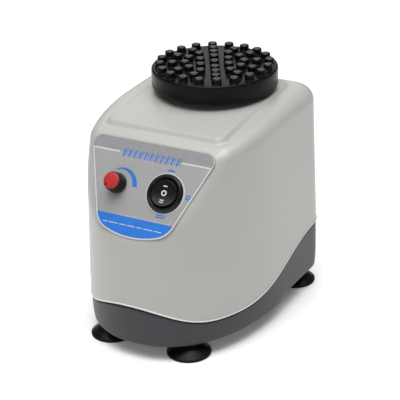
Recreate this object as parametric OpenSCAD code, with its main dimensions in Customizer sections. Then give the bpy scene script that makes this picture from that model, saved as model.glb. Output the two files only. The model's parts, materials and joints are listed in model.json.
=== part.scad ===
// Bench vortex mixer with a studded rubber head.
// Millimetres, +Z up, front towards -Y. The origin is on the bench, below the middle of the machine's box.
// The head rides on a crank pin, so it circles without turning.
// The whole motor floats on springs, so that pressing the head starts it.

/* [Body] */
// Greatest width of the body
body_w = 114; // [112:0.5:116]
// Distance from the front of the body to the head's axis
front_reach = 107.5; // [107:0.5:110]
// Distance from the head's axis to the rear wall
rear_reach = 39.5; // [39:0.5:42]
// Height of the top of the housing above the bench
crown_z = 131.5; // [131:0.1:132]
// Height of the underside of the base above the bench
base_z = 9; // [8.5:0.5:9.5]
// Wall thickness of the housing
wall = 2.4; // [2:0.1:2.8]
// Width lost on each side from the parting line to the shoulder
draft = 1.5; // [0.5:0.5:2]
// Radius of the blend from the top to each side
side_r = 12; // [10:1:14]
// Radius of the rear corners seen from above
corner_r = 15; // [13:1:17]
// How far the base stands back from the housing at the parting line
reveal = 0.4; // [0.2:0.1:0.6]

/* [Panel] */
// Backward lean of the control panel from upright
lean = 35; // [34:0.5:36]
// Width of the panel film at its top
film_w = 80; // [78:1:82]
// Thickness of the panel film
film_t = 0.4; // [0.3:0.1:0.5]
// Radius of the switch bezel
bezel_r = 11.3; // [11:0.1:12]
// Radius of the speed knob
knob_r = 6; // [5.8:0.1:6.4]
// Height of the speed knob with its cap
knob_h = 8.6; // [8:0.1:10]
// Tilt of the rocker to each side
rocker_tilt = 10; // [6:1:12]

/* [Head] */
// Radius of the rubber head
head_r = 38.1; // [37:0.1:39]
// Height of the flat face of the head above the bench
head_top = 146.4; // [146:0.1:148]
// Thickness of the rubber head without its studs
mat_t = 12; // [11.5:0.1:12]
// Height of a stud
stud_h = 3.5; // [3:0.1:4]
// Radius of a stud
stud_r = 2.6; // [2.2:0.1:2.8]
// Offset of the crank pin, half the width of the head's circle
orbit = 2; // [1.5:0.1:2]
// Travel of the head when it is pressed
press = 1.2; // [0.8:0.1:1.2]

/* [Motor] */
// Side of the square stator stack
stator_w = 56; // [54:1:57]
// Radius of the rotor core
rotor_r = 16; // [15:0.5:16]
// Radius of the motor shaft and of the crank pin
shaft_r = 4; // [3.9:0.05:4]

/* [Feet] */
// Radius of a suction foot
foot_r = 13.2; // [12:0.1:14]

/* [Hidden] */

$fn = 64;
eps = 0.01;          // overlap that lets a cutter break through a face
clear = 0.15;        // gap between pieces that sit side by side

// Places along Y, measured from the head's axis and moved so that the box is centred on the origin
fuse_cap_out = 8;
head_y = (front_reach - rear_reach - fuse_cap_out) / 2;
front_y = head_y - front_reach;
rear_y = head_y + rear_reach;
motor_y = head_y - orbit;

// Plan outline: a superellipse at the front, straight sides, round rear corners
half_w = body_w / 2;
nose_y = head_y - 20;
nose_l = nose_y - front_y;
nose_power = 2.25;

// Side outline: leaning panel, shoulder, long crown arc and rear edge
panel_z = 100;
panel_y = head_y - 88;
crown_r = 540;
crown_y = head_y + 20;
shoulder_r = 9;
rear_edge_r = 7.5;
rear_step = 3;
step_start_y = head_y - 27;
step_end_y = head_y - 14;

// Raised plateau under the head
plateau_half = 39.5;
plateau_front_y = head_y - 61;
plateau_rear_y = head_y + 30;
plateau_z = 132.4;
plateau_arc_r = 557;
plateau_peak_y = head_y + 10;

// Parting line between housing and base, a height for each Y
wave_low = 23.2;
wave_low_y = head_y - 74;
wave_front_rise = 11.2;
wave_front_len = 33.5;
wave_rear_rise = 21;
wave_rear_len = 109;
base_t = 3.2;
lip_h = 3;

// Levels of the works
chassis_z = 15.6;
chassis_t = 4;
chassis_top = chassis_z + chassis_t;
carriage_z = 42.5;
carriage_t = 3;
carriage_top = carriage_z + carriage_t;
stator_z = 61;
stator_h = 24;
coil_end_h = 7;
upper_plate_z = 95;
bracket_t = 4;
fan_z = 103;
weight_z = 110;
weight_h = 8;
bearing_r = 11;
bearing_h = 7;
lower_bearing_z = 46;
upper_bearing_z = 93.2;
head_bearing_z = 119.2;
run = 0.05;          // radial running clearance of a shaft

// Head
mat_z = head_top - mat_t;
plate_r = 33.5;
plate_z = mat_z + 0.2;
plate_t = 4;
hub_r = 13.5;
hub_z = 119;
throat_r = 18.6;
collar_r = hub_r + orbit + 0.8;
pin_x = 28;
pin_r = 2;
pin_low_z = 123;
bush_r = 6.4;
seal_z = 125.6;
seal_h = 6.8;
seal_lip = 1.6;

// Panel pieces, measured in the panel from its middle
switch_u = 14.8;
switch_v = 0.3;
knob_u = -16.6;
knob_v = 0.6;
barrel_r = 9.9;
barrel_l = 17;
rocker_r = 8.3;
rocker_gap = 0.3;
pivot_depth = 0.6;
trunnion_r = 1.2;
bushing_r = 3.4;
pot_shaft_r = 3;

// Fixings: [x, y] of one of a mirrored pair
front_boss = [46, head_y - 50];
rear_boss = [48.5, head_y + 12];
front_boss_z = 25;
rear_boss_z = 33;
boss_r = 4.5;
front_foot = [26.1, head_y - 85.9];
rear_foot = [41.5, head_y + 24.7];
post_x = 35;
post_dy = 15;
post_r = 3;
bolt_d = 22.5;
bolt_r = 2;

// Rear sockets
inlet_z = 30;
inlet_w = 27;
inlet_h = 19.6;
inlet_depth = 16;
inlet_face = rear_y + 2;
cavity_w = 24.4;
cavity_h = 16.4;
cavity_depth = 13.5;
fuse_x = 25;
fuse_z = 30;
fuse_r = 5.9;
fuse_depth = 21.5;

// Touch switch
lever_pivot = [-8, 38.4];
lever_arm = 16;
touch_y = head_y - 36.4;
touch_w = 6.4;
touch_mid = touch_y + touch_w / 2;
plunger_x = -3;
plunger_r = 1;

// Routes of the leads, chosen by hand: mains inlet to board, and board to rocker switch
mains_route = [[0, head_y + 13, 30], [0, head_y + 7, 27], [-16, head_y - 6, 22.5], [-19, head_y - 30, 22],
               [-18, head_y - 52, 22.5], [-12, head_y - 62, 27], [-12, head_y - 66.8, 28.5]];
switch_route = [[0, head_y - 66.8, 28.5], [1, head_y - 58, 31], [6, head_y - 50, 48], [12, head_y - 54, 68],
                [14.8, head_y - 60.5, 80]];
lead_r = 1.8;

// ---------- outlines ----------

function arc(c, r, a0, a1, n) = [for (i = [0:n]) let (a = a0 + (a1 - a0) * i / n) c + r * [cos(a), sin(a)]];

// Adds the left half to a right half whose points run from top to bottom or from bottom to top
function mirrored(right) =
    concat(right, [for (i = [len(right) - 1:-1:0]) if (right[i].x > eps) [-right[i].x, right[i].y]]);

// Half-width of the plan outline at a Y in front of the widest point
function nose_half(y, inset) =
    let (t = (nose_y - y) / (nose_l - inset))
    (half_w - inset) * pow(max(0, 1 - pow(t, nose_power)), 1 / nose_power);

function nose_points(inset, n) =
    [for (i = [0:n]) let (y = nose_y - (nose_l - inset) * sin(90 * i / n)) [nose_half(y, inset), y]];

function plan_points(inset) =
    let (
        right = nose_points(inset, 22),
        corner = arc([half_w - corner_r, rear_y - corner_r], corner_r - inset, 0, 90, 8)
    )
    mirrored(concat([for (i = [len(right) - 1:-1:0]) right[i]], corner));

// Side outline as [y, z]
panel_normal = [-cos(lean), sin(lean)];
panel_up = [sin(lean), cos(lean)];
crown_c = [crown_y, crown_z - crown_r];

function shoulder_centre(inset) =
    let (
        r = shoulder_r - inset,
        q = [panel_y, panel_z] - (film_t + inset + r) * panel_normal - crown_c,
        along = q * panel_up
    )
    crown_c + q + (-along + sqrt(along * along - q * q + pow(crown_r - inset - r, 2))) * panel_up;

function rear_centre(inset) =
    let (r = rear_edge_r - inset, y = rear_y - rear_edge_r)
    [y, crown_c.y + sqrt(pow(crown_r - inset - r, 2) - pow(y - crown_c.x, 2))];

function side_points(inset, drop) =
    let (
        sc = shoulder_centre(inset),
        rc = rear_centre(inset),
        panel_a = 180 - lean,
        shoulder_a = atan2(sc.y - crown_c.y, sc.x - crown_c.x),
        rear_a = atan2(rc.y - crown_c.y, rc.x - crown_c.x),
        foot = sc + (shoulder_r - inset) * panel_normal,
        knee_z = foot.y - (foot.x - front_y - inset + 1) / tan(lean),
        low = base_z + inset - drop
    )
    concat(
        [[front_y + inset - 1, knee_z]],
        arc(sc, shoulder_r - inset, panel_a, shoulder_a, 6),
        arc(crown_c, crown_r - inset, shoulder_a, rear_a, 12),
        arc(rc, rear_edge_r - inset, rear_a, 0, 6),
        [[rear_y - inset, low + rear_step], [step_end_y, low + rear_step], [step_start_y, low]],
        [[front_y + inset + 3, low], [front_y + inset, low + 5], [front_y + inset - 1, low + 6]]
    );

// Cross outline as [x, z]
function cross_points(inset) =
    let (
        top_half = half_w - draft,
        c = [top_half - side_r, crown_z - side_r]
    )
    mirrored(concat(
        [[half_w - 2 - inset, base_z - 1], [half_w - 1 - inset, base_z + 3], [half_w - inset, base_z + 12]],
        [[half_w - inset, wave_low + 20]],
        arc(c, side_r - inset, 0, 90, 8),
        [[c.x, crown_z + 1 - inset]]
    ));

function ease(t) = t * t * t * (t * (6 * t - 15) + 10);

function wave(y) = y < wave_low_y
    ? wave_low + wave_front_rise * pow((wave_low_y - y) / wave_front_len, 3)
    : wave_low + wave_rear_rise * ease(min(1, (y - wave_low_y) / wave_rear_len));

// ---------- helpers ----------

// Extrudes a [y, z] outline along X, centred
module along_x(w) {
    rotate([90, 0, 90]) linear_extrude(w, center = true) children();
}

// Extrudes an [x, z] outline along Y, from y0 to y1
module along_y(y0, y1) {
    translate([0, y1, 0]) rotate([90, 0, 0]) linear_extrude(y1 - y0) children();
}

// The whole outer form, moved inwards by inset; drop lowers its underside again
module body_form(inset, drop = 0) {
    intersection() {
        linear_extrude(crown_z + 5) polygon(plan_points(inset));
        along_x(body_w + 10) polygon(side_points(inset, drop));
        along_y(front_y - 2, rear_y + 2) polygon(cross_points(inset));
    }
}

// Everything above the parting line, raised by up
module above_parting(up) {
    steps = 36;
    span = front_reach + rear_reach + 4;
    line = [for (i = [0:steps]) let (y = front_y - 2 + span * i / steps) [y, wave(y) + up]];
    along_x(body_w + 20) polygon(concat(line, [[rear_y + 2, 200], [front_y - 2, 200]]));
}

// Places children on the panel at (u, v), with +Z out of the panel
module on_panel(u, v, out = 0) {
    translate([0, panel_y, panel_z]) rotate([90 - lean, 0, 0]) translate([u, v, out]) children();
}

module at_motor(z) {
    translate([0, motor_y, z]) children();
}

module at_head(z) {
    translate([0, head_y, z]) children();
}

// Copies children to (x, y) and (-x, y)
module pair(p) {
    for (s = [-1, 1]) translate([s * p.x, p.y, 0]) children();
}

// Copies children to the four corners of a rectangle about the motor's axis
module motor_corners(dx, dy) {
    for (sx = [-1, 1], sy = [-1, 1]) translate([sx * dx, motor_y + sy * dy, 0]) children();
}

module tube(r, bore, h) {
    difference() {
        cylinder(h = h, r = r);
        translate([0, 0, -eps]) cylinder(h = h + 2 * eps, r = bore);
    }
}

// A flat plate with round corners, made of exact pieces
module rounded_plate(w, l, r, h) {
    translate([-w / 2 + r, -l / 2, 0]) cube([w - 2 * r, l, h]);
    translate([-w / 2, -l / 2 + r, 0]) cube([w, l - 2 * r, h]);
    for (x = [-1, 1], y = [-1, 1]) translate([x * (w / 2 - r), y * (l / 2 - r), 0]) cylinder(h = h, r = r);
}

// Pan-head screw, head down at z = 0 and shank upwards
module screw(head_r, head_h, r, l) {
    cylinder(h = head_h, r = head_r);
    cylinder(h = head_h + l, r = r);
}

module hex(flats, h) {
    cylinder(h = h, r = flats / 2 / cos(30), $fn = 6);
}

// ---------- casing ----------

function plateau_points() =
    let (
        front_r = 6,
        back_r = 14
    )
    mirrored(concat(
        arc([plateau_half - front_r, plateau_front_y + front_r], front_r, -90, 0, 6),
        arc([plateau_half - back_r, plateau_rear_y - back_r], back_r, 0, 90, 8)
    ));

module plateau() {
    c = [plateau_peak_y, plateau_z - plateau_arc_r];
    edge = 30;
    a0 = 90 + asin((plateau_peak_y - plateau_front_y + 2) / plateau_arc_r);
    a1 = 90 - asin((plateau_rear_y + 2 - plateau_peak_y) / plateau_arc_r);
    intersection() {
        translate([0, 0, crown_z - edge]) linear_extrude(edge + 5) polygon(plateau_points());
        along_x(body_w) polygon(concat(
            arc(c, plateau_arc_r, a0, a1, 14),
            [[plateau_rear_y + 2, crown_z - 14], [plateau_front_y - 2, crown_z - 14]]
        ));
    }
}

// Screw bosses of the housing, each tied to the wall by a rib that starts above the base's lip
module housing_boss(p, z0, top) {
    rib_z = wave(p.y) + lip_h + 1;
    pair(p) translate([0, 0, z0]) cylinder(h = top - z0, r = boss_r);
    for (x = [p.x, -p.x - 10]) translate([x, p.y - 1, rib_z]) cube([10, 2, top - rib_z]);
}

module housing() {
    color("gainsboro") difference() {
        union() {
            difference() {
                intersection() {
                    union() {
                        body_form(0);
                        plateau();
                    }
                    above_parting(0);
                }
                body_form(wall);
            }
            intersection() {
                body_form(wall / 2);
                union() {
                    housing_boss(front_boss, front_boss_z, 50);
                    housing_boss(rear_boss, rear_boss_z, 60);
                }
            }
        }
        pair(front_boss) translate([0, 0, front_boss_z - eps]) cylinder(h = 12, r = 1.5);
        pair(rear_boss) translate([0, 0, rear_boss_z - eps]) cylinder(h = 12, r = 1.5);
        at_motor(crown_z - 8) cylinder(h = 12, r = throat_r);
        pair([pin_x, motor_y]) translate([0, 0, crown_z - 8]) cylinder(h = 12, r = bush_r);
        on_panel(switch_u, switch_v, -10) cylinder(h = 12, r = barrel_r + clear);
        on_panel(knob_u, knob_v, -10) cylinder(h = 12, r = bushing_r + clear);
    }
}

// The film follows the panel: flat top, straight tapering sides, round knees and a slightly bowed foot
function film_points() =
    let (
        top = 27.9,
        low = -28.9,
        taper = 21,
        top_r = 6,
        knee_r = 14.6,
        toe_r = 52.5
    )
    mirrored(concat(
        arc([film_w / 2 - top_r, top - top_r], top_r, 90, -taper, 6),
        arc([12, low + knee_r + 1.9], knee_r, -taper, -66, 6),
        arc([0, low + toe_r], toe_r, -72, -87, 3)
    ));

module panel_film() {
    color("silver") difference() {
        on_panel(0, 0, -film_t) linear_extrude(film_t) polygon(film_points());
        on_panel(switch_u, switch_v, -2) cylinder(h = 4, r = barrel_r + clear);
        on_panel(knob_u, knob_v, -2) cylinder(h = 4, r = bushing_r + clear);
    }
}

module base_column(p, z0, top, r = boss_r) {
    pair(p) translate([0, 0, z0]) cylinder(h = top - z0, r = r);
}

module base_pan() {
    foot_top = 18;
    rear_z = base_z + rear_step;
    color("dimgray") difference() {
        union() {
            difference() {
                body_form(reveal, reveal);
                body_form(reveal + base_t, reveal);
                above_parting(-0.25);
            }
            // Lip that stands up inside the housing
            difference() {
                body_form(wall + clear);
                body_form(reveal + base_t);
                above_parting(lip_h);
                translate([-body_w, front_y - 5, 0]) cube([2 * body_w, 200, wave_low - 4]);
            }
            intersection() {
                body_form(reveal + 1, reveal + 1);
                union() {
                    base_column(front_boss, base_z, front_boss_z - 0.3);
                    base_column(rear_boss, rear_z, rear_boss_z - 0.3);
                    base_column(front_foot, base_z, foot_top);
                    base_column(rear_foot, rear_z, foot_top);
                    for (p = chassis_fixings) base_column(p, base_z, chassis_z);
                    for (p = board_fixings) base_column(p, base_z, board_z, 3);
                }
            }
            pair(rear_foot) translate([0, 0, base_z]) cylinder(h = rear_step + 1, r = 7);
        }
        pair(front_boss) screw_well(base_z, front_boss_z);
        pair(rear_boss) screw_well(rear_z, rear_boss_z);
        pair(front_foot) translate([0, 0, base_z - 1]) cylinder(h = 8.5, r = 2);
        pair(rear_foot) translate([0, 0, base_z - 1]) cylinder(h = 8.5, r = 2);
        for (p = chassis_fixings) pair(p) translate([0, 0, chassis_z - 4]) cylinder(h = 5, r = 1.5);
        for (p = board_fixings) pair(p) translate([0, 0, board_z - 7]) cylinder(h = 8, r = 1.2);
        // Cooling slots through the floor
        for (i = [-3:3]) translate([i * 7 - 1.5, head_y - 48, 0]) cube([3, 30, base_z + 8]);
        // Openings for the power inlet and the fuse holder
        translate([-inlet_w / 2 - clear, rear_y - 10, inlet_z - inlet_h / 2 - clear])
            cube([inlet_w + 2 * clear, 20, inlet_h + 2 * clear]);
        translate([fuse_x, rear_y - 10, fuse_z]) rotate([-90, 0, 0]) cylinder(h = 20, r = fuse_r + 0.1);
    }
}

module screw_well(z0, top) {
    translate([0, 0, z0 - 1]) cylinder(h = 6, r = 3.3);
    translate([0, 0, z0 - 1]) cylinder(h = top - z0 + 2, r = 1.5);
}

module housing_screws() {
    color("silver") {
        pair(front_boss) translate([0, 0, base_z + 2.8]) screw(3, 2.2, 1.5, front_boss_z - base_z + 4);
        pair(rear_boss)
            translate([0, 0, base_z + rear_step + 2.8]) screw(3, 2.2, 1.5, rear_boss_z - base_z + 1);
    }
}

// ---------- feet ----------

module foot() {
    rotate_extrude() polygon([
        [2, base_z], [6, base_z], [6, base_z - 2.2], [8.2, base_z - 3.6], [foot_r - 0.5, 1.9],
        [foot_r, 1.4], [foot_r, 0.3], [foot_r - 0.4, 0], [foot_r - 1.6, 0], [7.5, 2.6], [4.4, 3.4], [2, 3.4]
    ]);
}

module foot_front_left() {
    color("black") translate([-front_foot.x, front_foot.y, 0]) foot();
}

module foot_front_right() {
    color("black") translate([front_foot.x, front_foot.y, 0]) foot();
}

module foot_rear_left() {
    color("black") translate([-rear_foot.x, rear_foot.y, 0]) foot();
}

module foot_rear_right() {
    color("black") translate([rear_foot.x, rear_foot.y, 0]) foot();
}

module foot_screws() {
    color("silver") for (p = [front_foot, rear_foot]) pair(p) translate([0, 0, 1.4]) screw(3.6, 2, 2, 12);
}

// ---------- chassis and floating carriage ----------

chassis_fixings = [[30, head_y - 56], [30, head_y + 4]];
chassis_front_y = head_y - 62;
chassis_rear_y = head_y + 19;

module chassis_plate() {
    l = chassis_rear_y - chassis_front_y;
    color("slategray") difference() {
        translate([0, (chassis_rear_y + chassis_front_y) / 2, chassis_z]) rounded_plate(82, l, 5, chassis_t);
        for (p = chassis_fixings) pair(p) translate([0, 0, chassis_z - 1]) cylinder(h = 6, r = 1.7);
        motor_corners(post_x, post_dy) translate([0, 0, chassis_z - 1]) cylinder(h = 6, r = 2.5);
        translate([-12, head_y - 52, chassis_z - 1]) cube([24, 12, 6]);
    }
}

module chassis_screws() {
    color("silver") for (p = chassis_fixings) pair(p)
        translate([0, 0, chassis_top + 2]) rotate([180, 0, 0]) screw(3, 2, 1.5, 7.5);
}

module guide_posts() {
    color("lightgray") motor_corners(post_x, post_dy) {
        translate([0, 0, chassis_z]) cylinder(h = chassis_t, r = 2.5);
        translate([0, 0, chassis_top]) cylinder(h = 33, r = post_r);
    }
}

module post_washers() {
    color("black") motor_corners(post_x, post_dy) translate([0, 0, carriage_top]) tube(6, post_r, 2);
}

module post_nuts() {
    color("silver") motor_corners(post_x, post_dy) translate([0, 0, carriage_top + 2]) difference() {
        hex(10, 3.5);
        translate([0, 0, -eps]) cylinder(h = 4, r = post_r);
    }
}

// Joins rings of points, each with the same count, into one closed solid
module sweep(rings) {
    n = len(rings) - 1;
    s = len(rings[0]);
    polyhedron(
        points = [for (ring = rings) each ring],
        faces = concat(
            [[for (k = [0:s - 1]) k]],
            [[for (k = [s - 1:-1:0]) n * s + k]],
            [for (i = [0:n - 1], k = [0:s - 1]) [i * s + k, (i + 1) * s + k, (i + 1) * s + (k + 1) % s]],
            [for (i = [0:n - 1], k = [0:s - 1]) [i * s + k, (i + 1) * s + (k + 1) % s, i * s + (k + 1) % s]]
        )
    );
}

// Coil spring from z = 0 to z = h
spring_turns = 5;
spring_sides = 6;
spring_steps = 10;

function spring_ring(t, h, r, wire) =
    let (a = 360 * spring_turns * t, z = wire + (h - 2 * wire) * t)
    [for (k = [0:spring_sides - 1]) let (b = 360 * k / spring_sides)
        [(r + wire * cos(b)) * cos(a), (r + wire * cos(b)) * sin(a), z + wire * sin(b)]];

module spring(h, r, wire) {
    n = spring_turns * spring_steps;
    sweep([for (i = [0:n]) spring_ring(i / n, h, r, wire)]);
}

module carriage_springs() {
    color("lightgray") motor_corners(post_x, post_dy)
        translate([0, 0, chassis_top]) spring(carriage_z - chassis_top, 5.4, 0.75);
}

module carriage_plate() {
    color("slategray") difference() {
        union() {
            at_motor(carriage_z) rounded_plate(84, 54, 6, carriage_t);
            translate([4, touch_y, carriage_z]) cube([8, 12, carriage_t]);
        }
        motor_corners(post_x, post_dy) translate([0, 0, carriage_z - 1]) cylinder(h = 5, r = 4.5);
        motor_corners(bolt_d, bolt_d) translate([0, 0, carriage_z - 1]) cylinder(h = 5, r = bolt_r);
        at_motor(carriage_z - 1) cylinder(h = 5, r = 9);
    }
}

module guide_bushes() {
    color("goldenrod") motor_corners(post_x, post_dy)
        translate([0, 0, carriage_z]) tube(4.5, post_r + run, carriage_t);
}

// ---------- motor ----------

module bracket_holes(z, h) {
    motor_corners(bolt_d, bolt_d) translate([0, 0, z - 1]) cylinder(h = h + 2, r = bolt_r);
}

module air_slots(z) {
    for (a = [0:90:270]) at_motor(z - 1) rotate(a) translate([16, -6, 0]) cube([6, 12, bracket_t + 2]);
}

module lower_bracket() {
    color("silver") difference() {
        union() {
            at_motor(carriage_top) rounded_plate(stator_w, stator_w, 5, bracket_t);
            at_motor(carriage_top) cylinder(h = 8.2, r = bearing_r + 2.5);
            motor_corners(bolt_d, bolt_d)
                translate([0, 0, carriage_top]) cylinder(h = stator_z - carriage_top, r = 5);
        }
        at_motor(lower_bearing_z) cylinder(h = 12, r = bearing_r);
        at_motor(carriage_top - 1) cylinder(h = 12, r = 8);
        bracket_holes(carriage_top, stator_z - carriage_top);
        air_slots(carriage_top);
    }
}

module upper_bracket() {
    top = upper_plate_z + bracket_t;
    color("silver") difference() {
        union() {
            at_motor(upper_plate_z) rounded_plate(stator_w, stator_w, 5, bracket_t);
            at_motor(upper_bearing_z - 0.5) cylinder(h = bearing_h + 1.5, r = bearing_r + 2.5);
            motor_corners(bolt_d, bolt_d)
                translate([0, 0, stator_z + stator_h]) cylinder(h = top - stator_z - stator_h, r = 5);
        }
        at_motor(upper_bearing_z - 1) cylinder(h = bearing_h + 1, r = bearing_r);
        at_motor(upper_bearing_z) cylinder(h = 12, r = 8);
        bracket_holes(stator_z + stator_h, top - stator_z - stator_h);
        air_slots(upper_plate_z);
    }
}

slot_count = 8;
slot_w = 6;
slot_in = 18;
slot_out = 24.5;

module stator_core() {
    color("darkgray") difference() {
        at_motor(stator_z) rounded_plate(stator_w, stator_w, 5, stator_h);
        at_motor(stator_z - 1) cylinder(h = stator_h + 2, r = rotor_r + 0.6);
        bracket_holes(stator_z, stator_h);
        for (i = [0:slot_count - 1]) at_motor(stator_z - 1) rotate((i + 0.5) * 360 / slot_count) {
            translate([slot_in, -slot_w / 2, 0]) cube([slot_out - slot_in, slot_w, stator_h + 2]);
            translate([rotor_r - 1, -1, 0]) cube([slot_in - rotor_r + 1.5, 2, stator_h + 2]);
        }
    }
}

module stator_windings() {
    color("peru") {
        for (z = [stator_z - coil_end_h, stator_z + stator_h])
            at_motor(z) tube(slot_out, slot_in, coil_end_h);
        for (i = [0:slot_count - 1]) at_motor(stator_z - eps) rotate((i + 0.5) * 360 / slot_count)
            translate([slot_in + clear, -slot_w / 2 + clear, 0])
                cube([slot_out - slot_in - 2 * clear, slot_w - 2 * clear, stator_h + 2 * eps]);
    }
}

module motor_bolts() {
    top = upper_plate_z + bracket_t;
    color("silver") motor_corners(bolt_d, bolt_d) {
        translate([0, 0, top]) cylinder(h = 2.6, r = 3.5);
        translate([0, 0, carriage_z - 3]) cylinder(h = top - carriage_z + 4, r = bolt_r);
    }
}

module motor_nuts() {
    color("silver") motor_corners(bolt_d, bolt_d) translate([0, 0, carriage_z - 3]) difference() {
        hex(7, 3);
        translate([0, 0, -eps]) cylinder(h = 4, r = bolt_r);
    }
}

// Sealed ball bearing: rings with a shallow shield between them
module bearing() {
    difference() {
        tube(bearing_r, shaft_r + run, bearing_h);
        for (z = [-eps, bearing_h - 0.5])
            translate([0, 0, z]) tube(bearing_r - 1.6, shaft_r + 1.8, 0.5 + eps);
    }
}

module lower_bearing() {
    color("lightsteelblue") at_motor(lower_bearing_z) bearing();
}

module upper_bearing() {
    color("lightsteelblue") at_motor(upper_bearing_z) bearing();
}

module motor_shaft() {
    top = weight_z + weight_h - 2;
    color("lightgray") at_motor(carriage_top) cylinder(h = top - carriage_top, r = shaft_r);
}

module rotor_core() {
    color("darkgray") at_motor(stator_z) tube(rotor_r, shaft_r, stator_h);
}

module rotor_cage() {
    ring_h = 4;
    color("silver") for (z = [stator_z - ring_h, stator_z + stator_h])
        at_motor(z) tube(rotor_r - 1, shaft_r + 4, ring_h);
}

module cooling_fan() {
    blades = 9;
    color("ivory") at_motor(fan_z) difference() {
        union() {
            cylinder(h = 1.2, r = 26);
            cylinder(h = 6, r = 7);
            for (i = [0:blades - 1]) rotate(i * 360 / blades) translate([6, -0.8, 0]) cube([19.5, 1.6, 5.5]);
        }
        translate([0, 0, -1]) cylinder(h = 9, r = shaft_r);
    }
}

// Crank web: a hub on the shaft, a half-disc weight on one side and the crank pin on the other
module counterweight() {
    color("lightslategray") difference() {
        union() {
            at_motor(weight_z) cylinder(h = weight_h, r = 10);
            at_motor(weight_z) difference() {
                cylinder(h = weight_h, r = 25);
                translate([-30, -2, -1]) cube([60, 40, weight_h + 2]);
            }
            at_head(weight_z + weight_h) cylinder(h = 1.2, r = 6);
            at_head(weight_z + weight_h) cylinder(h = 8, r = shaft_r);
        }
        at_motor(weight_z - 1) cylinder(h = weight_h - 1, r = shaft_r);
        at_head(weight_z + weight_h) cylinder(h = 9, r = 1.5);
    }
}

module crank_screw() {
    color("silver") at_head(head_bearing_z + bearing_h) {
        cylinder(h = 1, r = 6);
        cylinder(h = 3.6, r = 3.5);
        translate([0, 0, -6]) cylinder(h = 7, r = 1.5);
    }
}

// ---------- head ----------

module head_bearing() {
    color("lightsteelblue") at_head(head_bearing_z) bearing();
}

hub_screw_d = 10.6;

module hub_screw_places() {
    for (i = [0:2]) at_head(0) rotate(90 + i * 120) translate([hub_screw_d, 0, 0]) children();
}

module head_hub() {
    color("silver") difference() {
        at_head(hub_z) cylinder(h = plate_z - hub_z, r = hub_r);
        at_head(hub_z - 1) cylinder(h = head_bearing_z + bearing_h - hub_z + 1, r = bearing_r);
        at_head(hub_z) cylinder(h = 20, r = 7.6);
        hub_screw_places() translate([0, 0, plate_z - 6]) cylinder(h = 8, r = 1.25);
    }
}

module hub_screws() {
    color("silver") hub_screw_places()
        translate([0, 0, plate_z + plate_t]) rotate([180, 0, 0]) screw(2.6, 1.6, 1.25, 8);
}

module head_plate() {
    color("silver") difference() {
        at_head(plate_z) cylinder(h = plate_t, r = plate_r);
        at_head(plate_z - 1) cylinder(h = plate_t + 2, r = 7.6);
        hub_screw_places() translate([0, 0, plate_z - 1]) cylinder(h = plate_t + 2, r = 1.25);
        hub_screw_places() translate([0, 0, plate_z + plate_t - 1.6]) cylinder(h = 2, r = 2.6);
        pair([pin_x, head_y]) translate([0, 0, plate_z - 1]) cylinder(h = plate_t + 2, r = pin_r);
    }
}

module restraint_pins() {
    color("lightgray") pair([pin_x, head_y])
        translate([0, 0, pin_low_z]) cylinder(h = plate_z + plate_t - pin_low_z, r = pin_r);
}

// Studs stand in four rings and one in the middle: [ring radius, count, first angle]
stud_rings = [[33, 20, 12.5], [25.4, 12, 0], [17.8, 12, 0], [9.8, 6, 0]];

module stud() {
    cylinder(h = stud_h + 1, r = stud_r, $fn = 24);
}

module head_mat() {
    color("#1c1c1c") {
        difference() {
            at_head(mat_z) rotate_extrude($fn = 96) polygon(concat(
                [[0, 0], [head_r - 0.8, 0], [head_r, 0.8]],
                arc([head_r - 1.5, mat_t - 1.5], 1.5, 0, 90, 4),
                [[0, mat_t]]
            ));
            at_head(mat_z - 1) cylinder(h = plate_z + plate_t - mat_z + 1, r = plate_r + 0.05);
        }
        for (ring = stud_rings, i = [0:ring[1] - 1]) at_head(head_top - 1)
            rotate(ring[2] + i * 360 / ring[1]) translate([ring[0], 0, 0]) stud();
        at_head(head_top - 1) stud();
    }
}

module throat_collar() {
    color("black") at_motor(seal_z) {
        tube(throat_r, collar_r, seal_h);
        tube(throat_r + 1.6, collar_r, seal_lip);
    }
}

module restraint_bushes() {
    bore = pin_r + orbit + 0.6;
    color("black") pair([pin_x, motor_y]) translate([0, 0, seal_z]) {
        tube(bush_r, bore, seal_h);
        tube(bush_r + 0.9, bore, seal_lip);
    }
}

// ---------- controls ----------

tab_rows = [-5, 0, 5];
tab_w = 4.8;
tab_t = 0.8;

module switch_body() {
    lip = 2.1;
    color("black") on_panel(switch_u, switch_v) difference() {
        union() {
            rotate_extrude() polygon([
                [0, 0], [bezel_r, 0], [bezel_r, 0.7], [bezel_r - 0.6, 1.5], [bezel_r - 1.5, lip], [0, lip]
            ]);
            translate([0, 0, -barrel_l]) cylinder(h = barrel_l + eps, r = barrel_r);
        }
        translate([0, 0, -barrel_l + 3]) cylinder(h = barrel_l + 5, r = rocker_r + rocker_gap);
        translate([-barrel_r, 0, -pivot_depth])
            rotate([0, 90, 0]) cylinder(h = 2 * barrel_r, r = trunnion_r + run, $fn = 32);
        for (v = tab_rows) translate([-tab_w / 2 - clear, v - tab_t / 2 - clear, -barrel_l - 1])
            cube([tab_w + 2 * clear, tab_t + 2 * clear, 5]);
    }
}

module switch_terminals() {
    color("goldenrod") on_panel(switch_u, switch_v) for (v = tab_rows)
        translate([-tab_w / 2, v - tab_t / 2, -barrel_l - 6]) cube([tab_w, tab_t, 10]);
}

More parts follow.
